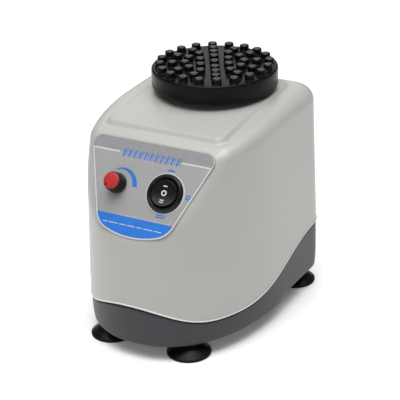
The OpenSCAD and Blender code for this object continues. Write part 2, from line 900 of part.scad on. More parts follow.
// A round slice of a ball with a dished face, on two trunnions
module switch_rocker() {
    under = 3.4;
    dish_r = 25;
    dish_low = 1.7;
    pin_l = 2 * barrel_r - 0.6;
    color("#202020") on_panel(switch_u, switch_v, -pivot_depth) {
        difference() {
            sphere(r = rocker_r, $fn = 64);
            translate([-20, -20, -20 - under]) cube([40, 40, 20]);
            translate([-20, 0, dish_r + dish_low]) rotate([0, 90, 0]) cylinder(h = 40, r = dish_r, $fn = 96);
        }
        rotate([0, 90, 0]) translate([0, 0, -pin_l / 2]) cylinder(h = pin_l, r = trunnion_r, $fn = 32);
    }
}

module speed_pot() {
    back = -film_t - wall;
    can_h = 9;
    color("slategray") on_panel(knob_u, knob_v) difference() {
        union() {
            translate([0, 0, back - can_h]) cylinder(h = can_h, r = 8.2);
            translate([0, 0, back - can_h]) cylinder(h = can_h - back + 2.4, r = bushing_r);
            translate([-5, -13, back - 4]) cube([10, 6, 1.6]);
        }
        translate([0, 0, back - 7]) cylinder(h = 20, r = pot_shaft_r + run);
    }
}

module pot_nut() {
    color("silver") on_panel(knob_u, knob_v) difference() {
        hex(8.2, 1.8);
        translate([0, 0, -eps]) cylinder(h = 3, r = bushing_r);
    }
}

module pot_shaft() {
    color("lightgray") on_panel(knob_u, knob_v, -film_t - wall - 6.5)
        cylinder(h = film_t + wall + 6.5 + knob_h - 2, r = pot_shaft_r);
}

module speed_knob() {
    flutes = 18;
    color("black") on_panel(knob_u, knob_v, 0.5) difference() {
        union() {
            cylinder(h = 1.6, r = knob_r);
            cylinder(h = knob_h - 2, r = knob_r - 0.5);
        }
        for (i = [0:flutes - 1]) rotate((i + 0.5) * 360 / flutes)
            translate([knob_r - 0.2, 0, 1.6]) cylinder(h = knob_h, r = 0.5, $fn = 16);
        translate([0, 0, -1]) cylinder(h = 3.4, r = 4.9);
        cylinder(h = knob_h - 2.5, r = pot_shaft_r);
    }
}

// Red cap with the pointer notch, which points to the lowest speed at rest
module knob_cap() {
    cap_r = knob_r - 0.9;
    color("red") on_panel(knob_u, knob_v, knob_h - 1.5) difference() {
        rotate_extrude() polygon([[0, 0], [cap_r, 0], [cap_r, 1], [cap_r - 0.5, 1.5], [0, 1.5]]);
        rotate(-135) translate([knob_r - 2.6, -0.45, 0.7]) cube([4, 0.9, 2]);
    }
}

// ---------- touch switch ----------

// Pin across the touch switch, from y0 to y1
module cross_pin(x, z, y0, y1, r) {
    translate([x, y0, z]) rotate([-90, 0, 0]) cylinder(h = y1 - y0, r = r, $fn = 32);
}

module touch_bracket() {
    y = touch_y + touch_w;
    color("silver") difference() {
        union() {
            translate([-12, y, chassis_top]) cube([24, 1.4, 17]);
            translate([-12, y, chassis_top]) cube([24, 9, 1.4]);
        }
        for (x = [-7, 7]) cross_pin(x, 29, y - 1, y + 3, 1.2);
    }
}

module touch_switch() {
    ear = 0.9;
    x = lever_pivot.x;
    color("#30302c") difference() {
        union() {
            translate([-10, touch_y, 25]) cube([20, touch_w, 11]);
            for (y = [touch_y, touch_y + touch_w - ear]) translate([x - 1.6, y, 35]) cube([3.2, ear, 5]);
        }
        cross_pin(x, lever_pivot.y, touch_y - 1, touch_y + touch_w + 1, 0.8);
        translate([plunger_x, touch_mid, 33]) cylinder(h = 4, r = plunger_r + run, $fn = 24);
    }
}

// Lever with its pivot barrel, pivot pin and end roller
module touch_lever() {
    x = lever_pivot.x;
    z = lever_pivot.y;
    y0 = touch_mid - 2;
    y1 = touch_mid + 2;
    roller_r = 1.9;
    color("silver") {
        translate([x, y0, z + 0.4]) cube([lever_arm, y1 - y0, 0.6]);
        cross_pin(x, z, y0, y1, 1);
        cross_pin(x, z, touch_y + 0.1, touch_y + touch_w - 0.1, 0.75);
        cross_pin(x + lever_arm, carriage_z - clear - roller_r, y0, y1, roller_r);
    }
}

module touch_plunger() {
    low = 34.6;
    color("red") translate([plunger_x, touch_mid, low])
        cylinder(h = lever_pivot.y + 0.3 - low, r = plunger_r, $fn = 24);
}

// ---------- electrics ----------

board_z = 22;
board_fixings = [[20, head_y - 93], [20, head_y - 69]];

module control_board() {
    color("darkgreen") difference() {
        translate([-24, head_y - 97, board_z]) cube([48, 32, 1.6]);
        for (p = board_fixings) pair(p) translate([0, 0, board_z - 1]) cylinder(h = 4, r = 1.2);
    }
}

module board_screws() {
    color("silver") for (p = board_fixings) pair(p)
        translate([0, 0, board_z + 3.2]) rotate([180, 0, 0]) screw(2.4, 1.6, 1.2, 8);
}

module board_parts() {
    z = board_z + 1.6;
    color("darkslategray") {
        // Finned heat sink with its triac
        translate([2, head_y - 90, z]) cube([15, 2, 20]);
        for (i = [0:4]) translate([2 + i * 3.4, head_y - 90 - 5, z]) cube([1.4, 6, 20]);
        translate([4.5, head_y - 87.9, z + 3]) cube([10, 4.5, 15]);
        // Filter capacitor
        translate([-9, head_y - 86, z]) cylinder(h = 17, r = 5.5);
        // Terminal block
        translate([-16, head_y - 75, z]) cube([24, 8, 9]);
    }
}

// Socket outline as [x, z]: a box with two cut corners
function socket_points() =
    let (w = cavity_w / 2, h = cavity_h / 2, c = 4.5)
    [[-w, h], [w, h], [w, -h + c], [w - c, -h], [-w + c, -h], [-w, -h + c]];

module inlet_blade_places() {
    for (p = [[-7, -2], [7, -2], [0, 2]]) translate([p.x, 0, inlet_z + p.y]) children();
}

module power_inlet() {
    flange_w = 32;
    flange_h = 23;
    low_z = inlet_z - inlet_h / 2;
    color("#202020") difference() {
        union() {
            translate([-inlet_w / 2, inlet_face - inlet_depth - 2, low_z])
                cube([inlet_w, inlet_depth + 1, inlet_h]);
            translate([-flange_w / 2, rear_y, inlet_z - flange_h / 2]) cube([flange_w, 2, flange_h]);
        }
        translate([0, 0, inlet_z])
            along_y(inlet_face - cavity_depth, inlet_face + 1) polygon(socket_points());
        inlet_blade_places() translate([-1, inlet_face - inlet_depth - 3, -2]) cube([2, 8, 4]);
    }
}

module inlet_pins() {
    tail = 9;
    tip_depth = 4.5;
    color("gold") inlet_blade_places()
        translate([-1, inlet_face - inlet_depth - tail, -2]) cube([2, inlet_depth + tail - tip_depth, 4]);
}

module fuse_holder() {
    color("#202020") translate([fuse_x, rear_y, fuse_z]) rotate([-90, 0, 0]) difference() {
        union() {
            cylinder(h = 2, r = 8);
            translate([0, 0, -fuse_depth]) cylinder(h = fuse_depth + 1, r = fuse_r);
            translate([0, 0, -reveal - base_t - 3]) hex(15, 3);
        }
        translate([0, 0, 0.9 - fuse_depth]) cylinder(h = fuse_depth + 4, r = 4.2);
    }
}

module fuse_cap() {
    color("#202020") translate([fuse_x, rear_y + 2.2, fuse_z]) rotate([-90, 0, 0]) difference() {
        union() {
            cylinder(h = fuse_cap_out - 2.2, r = 6.4);
            translate([0, 0, -6]) cylinder(h = 7, r = 4);
        }
        translate([-5, -0.7, fuse_cap_out - 3.4]) cube([10, 1.4, 3]);
        translate([0, 0, -7]) cylinder(h = 5, r = 2.6);
    }
}

module fuse_link() {
    color("gold") translate([fuse_x, rear_y + 0.2, fuse_z]) rotate([90, 0, 0]) cylinder(h = 20, r = 2.6);
}

// One ring of a round lead, square to the route at its point i
lead_sides = 10;

function lead_ring(route, i, r) =
    let (
        d = route[min(i + 1, len(route) - 1)] - route[max(i - 1, 0)],
        side = cross(d, [1, 0.2, 0.1]) / norm(cross(d, [1, 0.2, 0.1])),
        up = cross(side, d) / norm(d)
    )
    [for (k = [0:lead_sides - 1]) let (b = 360 * k / lead_sides)
        route[i] + r * (cos(b) * side + sin(b) * up)];

module lead(route, r) {
    sweep([for (i = [0:len(route) - 1]) lead_ring(route, i, r)]);
}

module leads() {
    color("dimgray") {
        lead(mains_route, lead_r);
        lead(switch_route, lead_r);
    }
}

housing();
panel_film();
switch_body();
switch_terminals();
switch_rocker();
speed_pot();
pot_nut();
pot_shaft();
speed_knob();
knob_cap();
base_pan();
housing_screws();
foot_front_left();
foot_front_right();
foot_rear_left();
foot_rear_right();
foot_screws();
chassis_plate();
chassis_screws();
guide_posts();
post_washers();
post_nuts();
carriage_springs();
carriage_plate();
guide_bushes();
lower_bracket();
upper_bracket();
stator_core();
stator_windings();
motor_bolts();
motor_nuts();
lower_bearing();
upper_bearing();
motor_shaft();
rotor_core();
rotor_cage();
cooling_fan();
counterweight();
crank_screw();
head_bearing();
head_hub();
hub_screws();
head_plate();
restraint_pins();
head_mat();
throat_collar();
restraint_bushes();
touch_switch();
touch_bracket();
touch_lever();
touch_plunger();
control_board();
board_screws();
board_parts();
power_inlet();
inlet_pins();
fuse_holder();
fuse_cap();
fuse_link();
leads();
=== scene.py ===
import json
import math

import bmesh
import bpy
import numpy as np
from mathutils import Matrix, Vector


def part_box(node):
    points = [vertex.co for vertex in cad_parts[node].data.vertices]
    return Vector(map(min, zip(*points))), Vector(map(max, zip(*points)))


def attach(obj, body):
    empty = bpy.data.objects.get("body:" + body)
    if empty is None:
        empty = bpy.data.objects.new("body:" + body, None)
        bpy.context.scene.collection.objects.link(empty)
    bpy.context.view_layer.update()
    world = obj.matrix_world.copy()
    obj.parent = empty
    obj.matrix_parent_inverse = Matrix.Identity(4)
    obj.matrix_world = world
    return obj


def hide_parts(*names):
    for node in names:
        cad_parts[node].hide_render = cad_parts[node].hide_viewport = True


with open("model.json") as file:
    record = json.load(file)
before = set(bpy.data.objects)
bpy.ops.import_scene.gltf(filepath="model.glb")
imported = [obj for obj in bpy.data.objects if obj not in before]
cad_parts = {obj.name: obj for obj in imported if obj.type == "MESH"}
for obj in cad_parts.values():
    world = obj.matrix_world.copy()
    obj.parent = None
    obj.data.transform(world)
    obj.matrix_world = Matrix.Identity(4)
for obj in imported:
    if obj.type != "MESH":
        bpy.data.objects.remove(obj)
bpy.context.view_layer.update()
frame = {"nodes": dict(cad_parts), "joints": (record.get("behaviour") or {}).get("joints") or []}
NODES = frame["nodes"]
JOINTS = {joint["name"]: joint for joint in frame["joints"]}

# Millimetres are used in this script, and meshes are scaled to metres as they are made
MM = 0.001


def span(node):
    """Lowest and highest corner of a CAD node, in millimetres."""
    low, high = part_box(node)
    return np.array(low) / MM, np.array(high) / MM


def middle_of(node):
    low, high = span(node)
    return (low + high) / 2


# ---------- places taken from the frame ----------

shell_low, shell_high = span("housing")
pan_low = span("base_pan")[0]
mat_low, mat_high = span("head_mat")
collar_low, collar_high = span("throat_collar")

HALF_W = shell_high[0]
FRONT_Y, REAR_Y = shell_low[1], shell_high[1]
HEAD_Y = (mat_low[1] + mat_high[1]) / 2
HEAD_R = mat_high[0]
MAT_Z, STUD_TOP = mat_low[2], mat_high[2]
MOTOR_Y = (collar_low[1] + collar_high[1]) / 2
PIN_R = 2.0
PIN_X = span("restraint_pins")[1][0] - PIN_R
BASE_Z = pan_low[2]
FEET = [tuple(middle_of(node)[:2]) for node in ("foot_front_right", "foot_rear_right")]
INLET_Z = middle_of("power_inlet")[2]
FUSE_X, FUSE_Z = middle_of("fuse_cap")[[0, 2]]

# The panel's own directions come from the knob's axis, and (u, v) is measured from the panel's middle
PANEL_OUT = np.array(JOINTS["speed_turn"]["axis"])
PANEL_UP = np.array([0, PANEL_OUT[2], -PANEL_OUT[1]])
PANEL_RIGHT = np.array([1.0, 0, 0])
KNOB_V = 0.6
PIVOT_DEPTH = 0.6
knob_point = np.array(JOINTS["speed_turn"]["pos_m"]) / MM
rocker_point = np.array(JOINTS["rocker_tilt"]["pos_m"]) / MM + PIVOT_DEPTH * PANEL_OUT
PANEL_O = knob_point * [0, 1, 1] - KNOB_V * PANEL_UP
KNOB_U = knob_point[0]
SWITCH_U = rocker_point[0]
SWITCH_V = float((rocker_point - PANEL_O) @ PANEL_UP)

# ---------- sizes of the outer form ----------

WALL = 2.4
FILM_T = 0.4
BEAD = 0.45            # how far the rolled lower edge of the housing stands out
DRAFT = 2.7            # how far each side wall leans in between the two heights below
FRONT_LEAN = 1.2       # how far the front leans back between them
DRAFT_LOW, DRAFT_TOP = 38.0, 119.5
CORNER_R = 17.5
NOSE_Y = HEAD_Y - 20
NOSE_L = NOSE_Y - FRONT_Y
NOSE_POWER = 2.25
CROWN_Z, CROWN_R = 131.5, 540.0
CROWN_Y = HEAD_Y + 20
SHOULDER = 4.8         # radius of the blend between the panel and the crown
PLATEAU_HALF = 39.5
PLATEAU_Y0, PLATEAU_Y1 = HEAD_Y - 64.5, HEAD_Y + 30
PLATEAU_FRONT_R, PLATEAU_REAR_R = 6.0, 14.0
PLATEAU_Z, PLATEAU_ARC = 132.4, 557.0
PLATEAU_Y = HEAD_Y + 10
RISER_W = 2.2
WAVE_LOW, WAVE_LOW_Y = 23.2, HEAD_Y - 74
WAVE_FRONT_RISE, WAVE_FRONT_LEN = 11.2, 33.5
WAVE_REAR_RISE, WAVE_REAR_LEN = 21.0, 109.0
STEP_Y0, STEP_Y1, STEP_H = HEAD_Y - 27, HEAD_Y - 14, 3.0
THROAT_R = 18.6
BUSH_R = 6.4
REVEAL = 0.4
PAN_T = 3.2
GAP = 0.8              # height of the dark joint between housing and base
BOSS_R = 4.5
FRONT_BOSS, REAR_BOSS = (46.0, HEAD_Y - 50), (48.5, HEAD_Y + 12)
BOSS_Z = {FRONT_BOSS: (25.0, 50.0), REAR_BOSS: (33.0, 60.0)}
BARREL_R = 9.9
BUSHING_R = 3.4
# Columns under the chassis and the board: [x, y, radius, top]
COLUMNS = [(30, HEAD_Y - 56, BOSS_R, 15.6), (30, HEAD_Y + 4, BOSS_R, 15.6), (20, HEAD_Y - 93, 3, 22),
           (20, HEAD_Y - 69, 3, 22)]


# ---------- mesh helpers ----------

def finish_mesh(bm, name):
    """Turns a bmesh in millimetres into a mesh in metres with its faces turned outwards."""
    bmesh.ops.remove_doubles(bm, verts=bm.verts, dist=1e-4)
    bmesh.ops.recalc_face_normals(bm, faces=bm.faces)
    bmesh.ops.scale(bm, vec=(MM, MM, MM), verts=bm.verts)
    mesh = bpy.data.meshes.new(name)
    bm.to_mesh(mesh)
    bm.free()
    obj = bpy.data.objects.new(name, mesh)
    bpy.context.scene.collection.objects.link(obj)
    return obj


def shade(obj, sharp):
    obj.data.shade_smooth()
    obj.data.set_sharp_from_angle(angle=math.radians(sharp))


def solid(name, parts):
    """parts is a list of (points, faces) in millimetres; each becomes a closed shell of one object."""
    bm = bmesh.new()
    for points, faces in parts:
        verts = [bm.verts.new([float(c) for c in p]) for p in points]
        for face in faces:
            if len(set(face)) > 2:
                bm.faces.new([verts[i] for i in face])
    return finish_mesh(bm, name)


def build(name, parts, material, body, cuts=(), joins=(), sharp=38, nodes=()):
    """A finished piece: joins are merged into parts, cuts are taken out, and it rides on a body."""
    obj = solid(name, parts)
    for others, operation in ((joins, "UNION"), (cuts, "DIFFERENCE")):
        if others:
            combine(obj, others, operation)
    obj.data.materials.append(material)
    shade(obj, sharp)
    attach(obj, body)
    if nodes:
        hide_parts(*nodes)
    return obj


def combine(obj, parts, operation):
    """Merges closed parts into an object, or cuts them out of it."""
    other = solid("other", parts)
    change = obj.modifiers.new("change", "BOOLEAN")
    change.operation = operation
    change.solver = "EXACT"
    change.use_self = operation == "UNION"
    change.object = other
    bpy.context.view_layer.update()
    done = bpy.data.meshes.new_from_object(obj.evaluated_get(bpy.context.evaluated_depsgraph_get()))
    obj.modifiers.remove(change)
    before = obj.data
    obj.data = done
    done.name = obj.name
    used = other.data
    bpy.data.objects.remove(other)
    bpy.data.meshes.remove(used)
    bpy.data.meshes.remove(before)


def loft(rings, along=False):
    """Joins rings of points. The last ring joins the first where along is true, or both ends are closed."""
    rings = np.asarray(rings, float)
    m, n = rings.shape[:2]
    faces = []
    for i in range(m if along else m - 1):
        j = (i + 1) % m
        for k in range(n):
            q = (k + 1) % n
            faces.append((i * n + k, i * n + q, j * n + q, j * n + k))
    if not along:
        faces.append(tuple(range(n)))
        faces.append(tuple(range((m - 1) * n, m * n)))
    return rings.reshape(-1, 3), faces


def rounded(corners, steps=4):
    """A closed outline through corners [x, y, radius], each corner turned on an arc of its radius."""
    out = []
    n = len(corners)
    for i, (x, y, r) in enumerate(corners):
        p = np.array([x, y], float)
        if r == 0:
            out.append(p)
            continue
        a = np.array(corners[i - 1][:2], float) - p
        b = np.array(corners[(i + 1) % n][:2], float) - p
        a, b = a / np.linalg.norm(a), b / np.linalg.norm(b)
        half = math.acos(float(np.clip(a @ b, -1, 1))) / 2
        centre = p + (a + b) / np.linalg.norm(a + b) * r / math.sin(half)
        start = p + a * r / math.tan(half) - centre
        end = p + b * r / math.tan(half) - centre
        sweep = math.copysign(math.pi - 2 * half, start[0] * end[1] - start[1] * end[0])
        for k in range(steps + 1):
            c, s = math.cos(sweep * k / steps), math.sin(sweep * k / steps)
            out.append(centre + [start[0] * c - start[1] * s, start[0] * s + start[1] * c])
    return out


def lathe(profile, segments=64, form=None):
    """Turns a closed [r, z] profile about Z. form(r, z, angles) may change the radius with the angle."""
    angles = np.linspace(0, 2 * math.pi, segments, endpoint=False)
    points, rows, faces = [], [], []
    for r, z in profile:
        if r < 1e-6:
            rows.append([len(points)] * segments)
            points.append((0, 0, z))
        else:
            rows.append(range(len(points), len(points) + segments))
            radii = form(r, z, angles) if form else np.full(segments, r)
            points += list(zip(radii * np.cos(angles), radii * np.sin(angles), np.full(segments, z)))
    for a, b in zip(rows, rows[1:] + rows[:1]):
        for k in range(segments):
            q = (k + 1) % segments
            face = tuple(dict.fromkeys((a[k], a[q], b[q], b[k])))
            if len(face) > 2:
                faces.append(face)
    return np.array(points), faces


def rod(r, z0, z1, segments=32):
    return lathe([(0, z0), (r, z0), (r, z1), (0, z1)], segments)


def placed(part, offset=(0, 0, 0), turn=0.0, axis="Z"):
    """A part turned by some degrees about an axis, and then moved."""
    points, faces = part
    spin = np.array(Matrix.Rotation(math.radians(turn), 3, axis))
    return points @ spin.T + np.array(offset, float), faces


def on_panel(part, u, v, out=0.0):
    """A part made about Z, stood on the control panel at (u, v)."""
    points, faces = part
    axes = np.array([PANEL_RIGHT, PANEL_UP, PANEL_OUT])
    return points @ axes + PANEL_O + np.array([u, v, out]) @ axes, faces


def at_rear(part, x, z):
    """A part made about Z, stood on the rear wall."""
    points, faces = part
    return points[:, [0, 2, 1]] + [x, REAR_Y, z], faces


def signed_area(outline):
    after = np.roll(outline, -1, 0)
    return float((outline[:, 0] * after[:, 1] - after[:, 0] * outline[:, 1]).sum() / 2)


def inset(outline, d):
    """A convex outline moved inwards by d, its points kept in step."""
    outline = np.asarray(outline, float)
    e1, e2 = outline - np.roll(outline, 1, 0), np.roll(outline, -1, 0) - outline
    n1 = np.column_stack([-e1[:, 1], e1[:, 0]]) / np.linalg.norm(e1, axis=1)[:, None]
    n2 = np.column_stack([-e2[:, 1], e2[:, 0]]) / np.linalg.norm(e2, axis=1)[:, None]
    side = 1 if signed_area(outline) > 0 else -1
    mitre = (n1 + n2) / np.maximum((n1 * (n1 + n2)).sum(1), 0.2)[:, None]
    return outline + side * d * mitre


def plate(outline, z0, z1, edge=0.0):
    """A flat plate over a convex outline, with its upper edge rounded by edge."""
    levels, steps = [(0, z0)], 3
    for k in range(steps + 1 if edge else 1):
        a = math.pi / 2 * k / steps
        levels.append((edge * (1 - math.cos(a)), z1 - edge * (1 - math.sin(a))))
    return loft([np.column_stack([inset(outline, d) if d else outline, np.full(len(outline), z)])
                 for d, z in levels])


def band(outer, inner, z0, z1):
    """A flat ring between two outlines with the same number of points."""
    sides = [(inner, z0), (outer, z0), (outer, z1), (inner, z1)]
    return loft([np.column_stack([o, np.full(len(o), z)]) for o, z in sides], along=True)


def circle(r, n=64, start=0.0, sweep=360.0):
    """Points on a circle, or on a part of it where sweep is less than a turn."""
    steps = n if sweep == 360.0 else n - 1
    angles = np.radians(start + sweep * np.arange(n) / steps)
    return np.column_stack([r * np.cos(angles), r * np.sin(angles)])


def box_outline(w, h, r=0.0, steps=4):
    corners = [(-w / 2, -h / 2), (w / 2, -h / 2), (w / 2, h / 2), (-w / 2, h / 2)]
    return np.array(rounded([(x, y, r) for x, y in corners], steps))


# ---------- materials ----------

def noise(tree, grain, detail=3.0, stretch=(1, 1, 1)):
    """A noise whose features are about grain millimetres across, fixed to the object."""
    place = tree.nodes.new("ShaderNodeTexCoord").outputs["Object"]
    if stretch != (1, 1, 1):
        scale = tree.nodes.new("ShaderNodeMapping")
        scale.inputs["Scale"].default_value = stretch
        tree.links.new(place, scale.inputs["Vector"])
        place = scale.outputs["Vector"]
    node = tree.nodes.new("ShaderNodeTexNoise")
    node.inputs["Scale"].default_value = 1 / (grain * MM)
    node.inputs["Detail"].default_value = detail
    tree.links.new(place, node.inputs["Vector"])
    return node.outputs["Fac"]


def surface(name, colour, rough, patch=25.0, spread=0.05, grain=0.5, height=0.01, rough_spread=0.05,
            stretch=(1, 1, 1), **sockets):
    """A procedural finish: shade patches, an uneven gloss and a fine relief, height in millimetres."""
    made = bpy.data.materials.new(name)
    made.use_nodes = True
    tree = made.node_tree
    shader = tree.nodes["Principled BSDF"]
    ramp = tree.nodes.new("ShaderNodeValToRGB")
    for stop, place, factor in zip(ramp.color_ramp.elements, (0.32, 0.68), (1 - spread, 1 + spread)):
        stop.position = place
        stop.color = (*[min(1.0, c * factor) for c in colour], 1)
    tree.links.new(noise(tree, patch, 4.0, stretch), ramp.inputs["Fac"])
    tree.links.new(ramp.outputs["Color"], shader.inputs["Base Color"])
    fine = noise(tree, grain, 2.0, stretch)
    gloss = tree.nodes.new("ShaderNodeMapRange")
    for socket, value in (("From Min", 0.3), ("From Max", 0.7), ("To Min", rough - rough_spread),
                          ("To Max", rough + rough_spread)):
        gloss.inputs[socket].default_value = value
    tree.links.new(fine, gloss.inputs["Value"])
    tree.links.new(gloss.outputs["Result"], shader.inputs["Roughness"])
    relief = tree.nodes.new("ShaderNodeBump")
    relief.inputs["Distance"].default_value = height * MM
    tree.links.new(fine, relief.inputs["Height"])
    tree.links.new(relief.outputs["Normal"], shader.inputs["Normal"])
    for socket, value in sockets.items():
        shader.inputs[socket.replace("_", " ")].default_value = value
    return made


PAINT = surface("housing_paint", (0.378, 0.373, 0.356), 0.40, patch=40, spread=0.012, grain=0.9,
                height=0.006, Coat_Weight=0.18, Coat_Roughness=0.22)
SLATE = surface("base_plastic", (0.0165, 0.016, 0.0225), 0.46, patch=30, grain=0.35, height=0.018,
                Specular_IOR_Level=0.5)
RUBBER = surface("head_rubber", (0.003, 0.003, 0.0032), 0.30, patch=12, spread=0.25, grain=0.4, height=0.02,
                 rough_spread=0.10, Specular_IOR_Level=0.11)
# Lighter rubber for the studs' tops: a painted highlight, with a stronger gloss
STUD_TOP_HIGHLIGHT = surface("stud_top_highlight_rubber", (0.009, 0.009, 0.0095), 0.28, patch=4, spread=0.3, grain=0.5,
                   height=0.02, rough_spread=0.08, Specular_IOR_Level=0.35)
FOOT_RUBBER = surface("foot_rubber", (0.005, 0.005, 0.0052), 0.32, patch=10, spread=0.2, grain=0.8,
                      height=0.012, rough_spread=0.08, Specular_IOR_Level=0.12)
FILM = surface("panel_grey", (0.285, 0.285, 0.286), 0.42, patch=6, spread=0.02, grain=0.25, height=0.004)
HATCHED = surface("panel_band", (0.225, 0.227, 0.232), 0.5, patch=0.9, spread=0.22, grain=0.3,
                  stretch=(1, 3, 3))
INK_WHITE = surface("ink_white", (0.52, 0.52, 0.52), 0.45, patch=3, spread=0.03, grain=0.3, height=0.002)
INK_BLUE = surface("ink_blue", (0.012, 0.143, 0.52), 0.42, patch=3, spread=0.05, grain=0.3, height=0.002)
# Lighter paint for the rolled lower edge: a painted highlight along the bead
LIP_HIGHLIGHT = surface("housing_lip_highlight", (0.66, 0.655, 0.64), 0.30, patch=40, spread=0.01, grain=0.9, height=0.004)
BLACK = surface("black_plastic", (0.006, 0.006, 0.0065), 0.28, patch=8, spread=0.15, height=0.008,
                Specular_IOR_Level=0.25)
RED = surface("red_plastic", (0.39, 0.015, 0.017), 0.34, patch=5, spread=0.06, grain=0.4, height=0.006)
ZINC = surface("zinc_steel", (0.56, 0.56, 0.54), 0.32, patch=5, spread=0.12, grain=0.4, height=0.006,
               Metallic=1.0)
PLATE = surface("plate_coat", (0.18, 0.19, 0.21), 0.5, patch=15, spread=0.08, grain=0.3, height=0.02)
CAST = surface("cast_alloy", (0.55, 0.55, 0.56), 0.45, patch=8, spread=0.1, grain=0.7, height=0.03,
               Metallic=1.0)
LAMINATED = surface("lamination_steel", (0.28, 0.28, 0.29), 0.45, patch=10, spread=0.1, grain=0.4,
                    height=0.03, stretch=(0.15, 0.15, 3), Metallic=1.0)
COPPER = surface("copper_wire", (0.62, 0.25, 0.11), 0.35, patch=2, spread=0.2, height=0.05,
                 stretch=(0.3, 0.3, 2), Metallic=0.8)
GROUND = surface("bearing_steel", (0.66, 0.67, 0.69), 0.18, patch=6, grain=0.3, height=0.002, Metallic=1.0)
IRON = surface("machined_iron", (0.25, 0.25, 0.26), 0.45, patch=6, spread=0.15, grain=0.6, height=0.02,
               Metallic=1.0)
BRONZE = surface("bronze", (0.60, 0.42, 0.18), 0.35, patch=4, spread=0.12, grain=0.4, Metallic=1.0)
NYLON = surface("fan_nylon", (0.70, 0.68, 0.60), 0.45, patch=10, spread=0.04)
LAMINATE = surface("board_laminate", (0.02, 0.13, 0.05), 0.35, patch=3, spread=0.2, Coat_Weight=0.3)
COMPONENT = surface("board_components", (0.09, 0.11, 0.14), 0.45, patch=4, spread=0.2)
CAN = surface("pot_metal", (0.42, 0.43, 0.45), 0.35, patch=5, spread=0.08, grain=0.4, height=0.006,
              Metallic=1.0)
SHEATH = surface("lead_sheath", (0.20, 0.20, 0.21), 0.45, patch=6, spread=0.08)
GLASS = surface("fuse_glass", (0.90, 0.93, 0.92), 0.06, patch=3, spread=0.02, rough_spread=0.03,
                Transmission_Weight=0.9, IOR=1.45)
FLOOR = surface("pale_floor", (0.95, 0.95, 0.95), 0.7, patch=300, spread=0.004, grain=3, height=0.01,
                Emission_Color=(1, 1, 1, 1), Emission_Strength=0.1)

# CAD nodes that stay as they are, and whether their edges are softened
CARRIED = [
    (ZINC, 0.15, ["chassis_screws", "guide_posts", "post_nuts", "motor_bolts", "motor_nuts", "crank_screw",
                  "hub_screws", "touch_bracket", "touch_lever", "board_screws", "pot_nut", "pot_shaft",
                  "restraint_pins"]),
    (ZINC, 0, ["carriage_springs"]),
    (PLATE, 0.3, ["chassis_plate", "carriage_plate"]),
    (CAST, 0.3, ["lower_bracket", "upper_bracket", "head_hub", "head_plate", "rotor_cage"]),
    (LAMINATED, 0.1, ["stator_core", "rotor_core"]),
    (COPPER, 0.8, ["stator_windings"]),
    (GROUND, 0.2, ["lower_bearing", "upper_bearing", "head_bearing", "motor_shaft"]),
    (IRON, 0.3, ["counterweight"]),
    (BRONZE, 0.1, ["guide_bushes", "switch_terminals"]),
    (NYLON, 0.2, ["cooling_fan"]),
    (LAMINATE, 0.1, ["control_board"]),
    (COMPONENT, 0.2, ["board_parts"]),
    (CAN, 0.3, ["speed_pot"]),
    (GLASS, 0.2, ["fuse_link"]),
    (SHEATH, 0, ["leads"]),
    (RUBBER, 0.3, ["throat_collar", "restraint_bushes", "post_washers"]),
    (BLACK, 0.2, ["touch_switch"]),
    (RED, 0.15, ["touch_plunger"]),
]


def dress_carried_nodes():
    for material, softened, names in CARRIED:
        for name in names:
            node = NODES[name]
            node.data.materials.clear()
            node.data.materials.append(material)
            weld = node.modifiers.new("weld", "WELD")
            weld.merge_threshold = 1e-6
            if softened:
                edge = node.modifiers.new("edge", "BEVEL")
                edge.width = softened * MM
                edge.segments = 2
                edge.angle_limit = math.radians(40)


# ---------- outer form ----------

def smooth(t):
    t = np.clip(t, 0, 1)
    return t * t * (3 - 2 * t)


def ease(t):
    t = np.clip(t, 0, 1)
    return t ** 3 * (t * (6 * t - 15) + 10)


def wave(y):
    """Height of the joint between housing and base."""
    front = WAVE_LOW + WAVE_FRONT_RISE * np.maximum((WAVE_LOW_Y - y) / WAVE_FRONT_LEN, 0) ** 3
    return front + WAVE_REAR_RISE * ease((y - WAVE_LOW_Y) / WAVE_REAR_LEN)


def underside(y):
    """Height of the underside of the base, which steps up towards the rear."""
    return BASE_Z + STEP_H * smooth((y - STEP_Y0) / (STEP_Y1 - STEP_Y0))


def both(a, b, k):
    """Distance to the inside of both a and b, with the edge between them rounded to radius k."""
    a, b = a + k, b + k
    return np.hypot(np.maximum(a, 0), np.maximum(b, 0)) + np.minimum(np.maximum(a, b), 0) - k


def box_distance(x, y, half_x, half_y, r):
    """Distance from a round-cornered rectangle about the origin, negative inside."""
    qx, qy = np.abs(x) - half_x + r, np.abs(y) - half_y + r
    return np.hypot(np.maximum(qx, 0), np.maximum(qy, 0)) + np.minimum(np.maximum(qx, qy), 0) - r


def wall_distance(p):
    """Distance from the upright walls, negative inside."""
    x, y, z = np.abs(p[..., 0]), p[..., 1], p[..., 2]
    lean = np.clip((z - DRAFT_LOW) / (DRAFT_TOP - DRAFT_LOW), 0, 1)
    half = HALF_W - BEAD - DRAFT * lean
    s = np.maximum(x / half, 1e-3)
    t = np.maximum((NOSE_Y - y) / (NOSE_L - BEAD - FRONT_LEAN * lean), 1e-3)
    slope = np.hypot(NOSE_POWER / half * s ** (NOSE_POWER - 1), NOSE_POWER / NOSE_L * t ** (NOSE_POWER - 1))
    nose = (s ** NOSE_POWER + t ** NOSE_POWER - 1) / np.maximum(slope, 5e-3)
    rear = box_distance(x, np.maximum(y, 0), half, REAR_Y - BEAD, CORNER_R)
    return np.where(y < NOSE_Y, nose, rear)


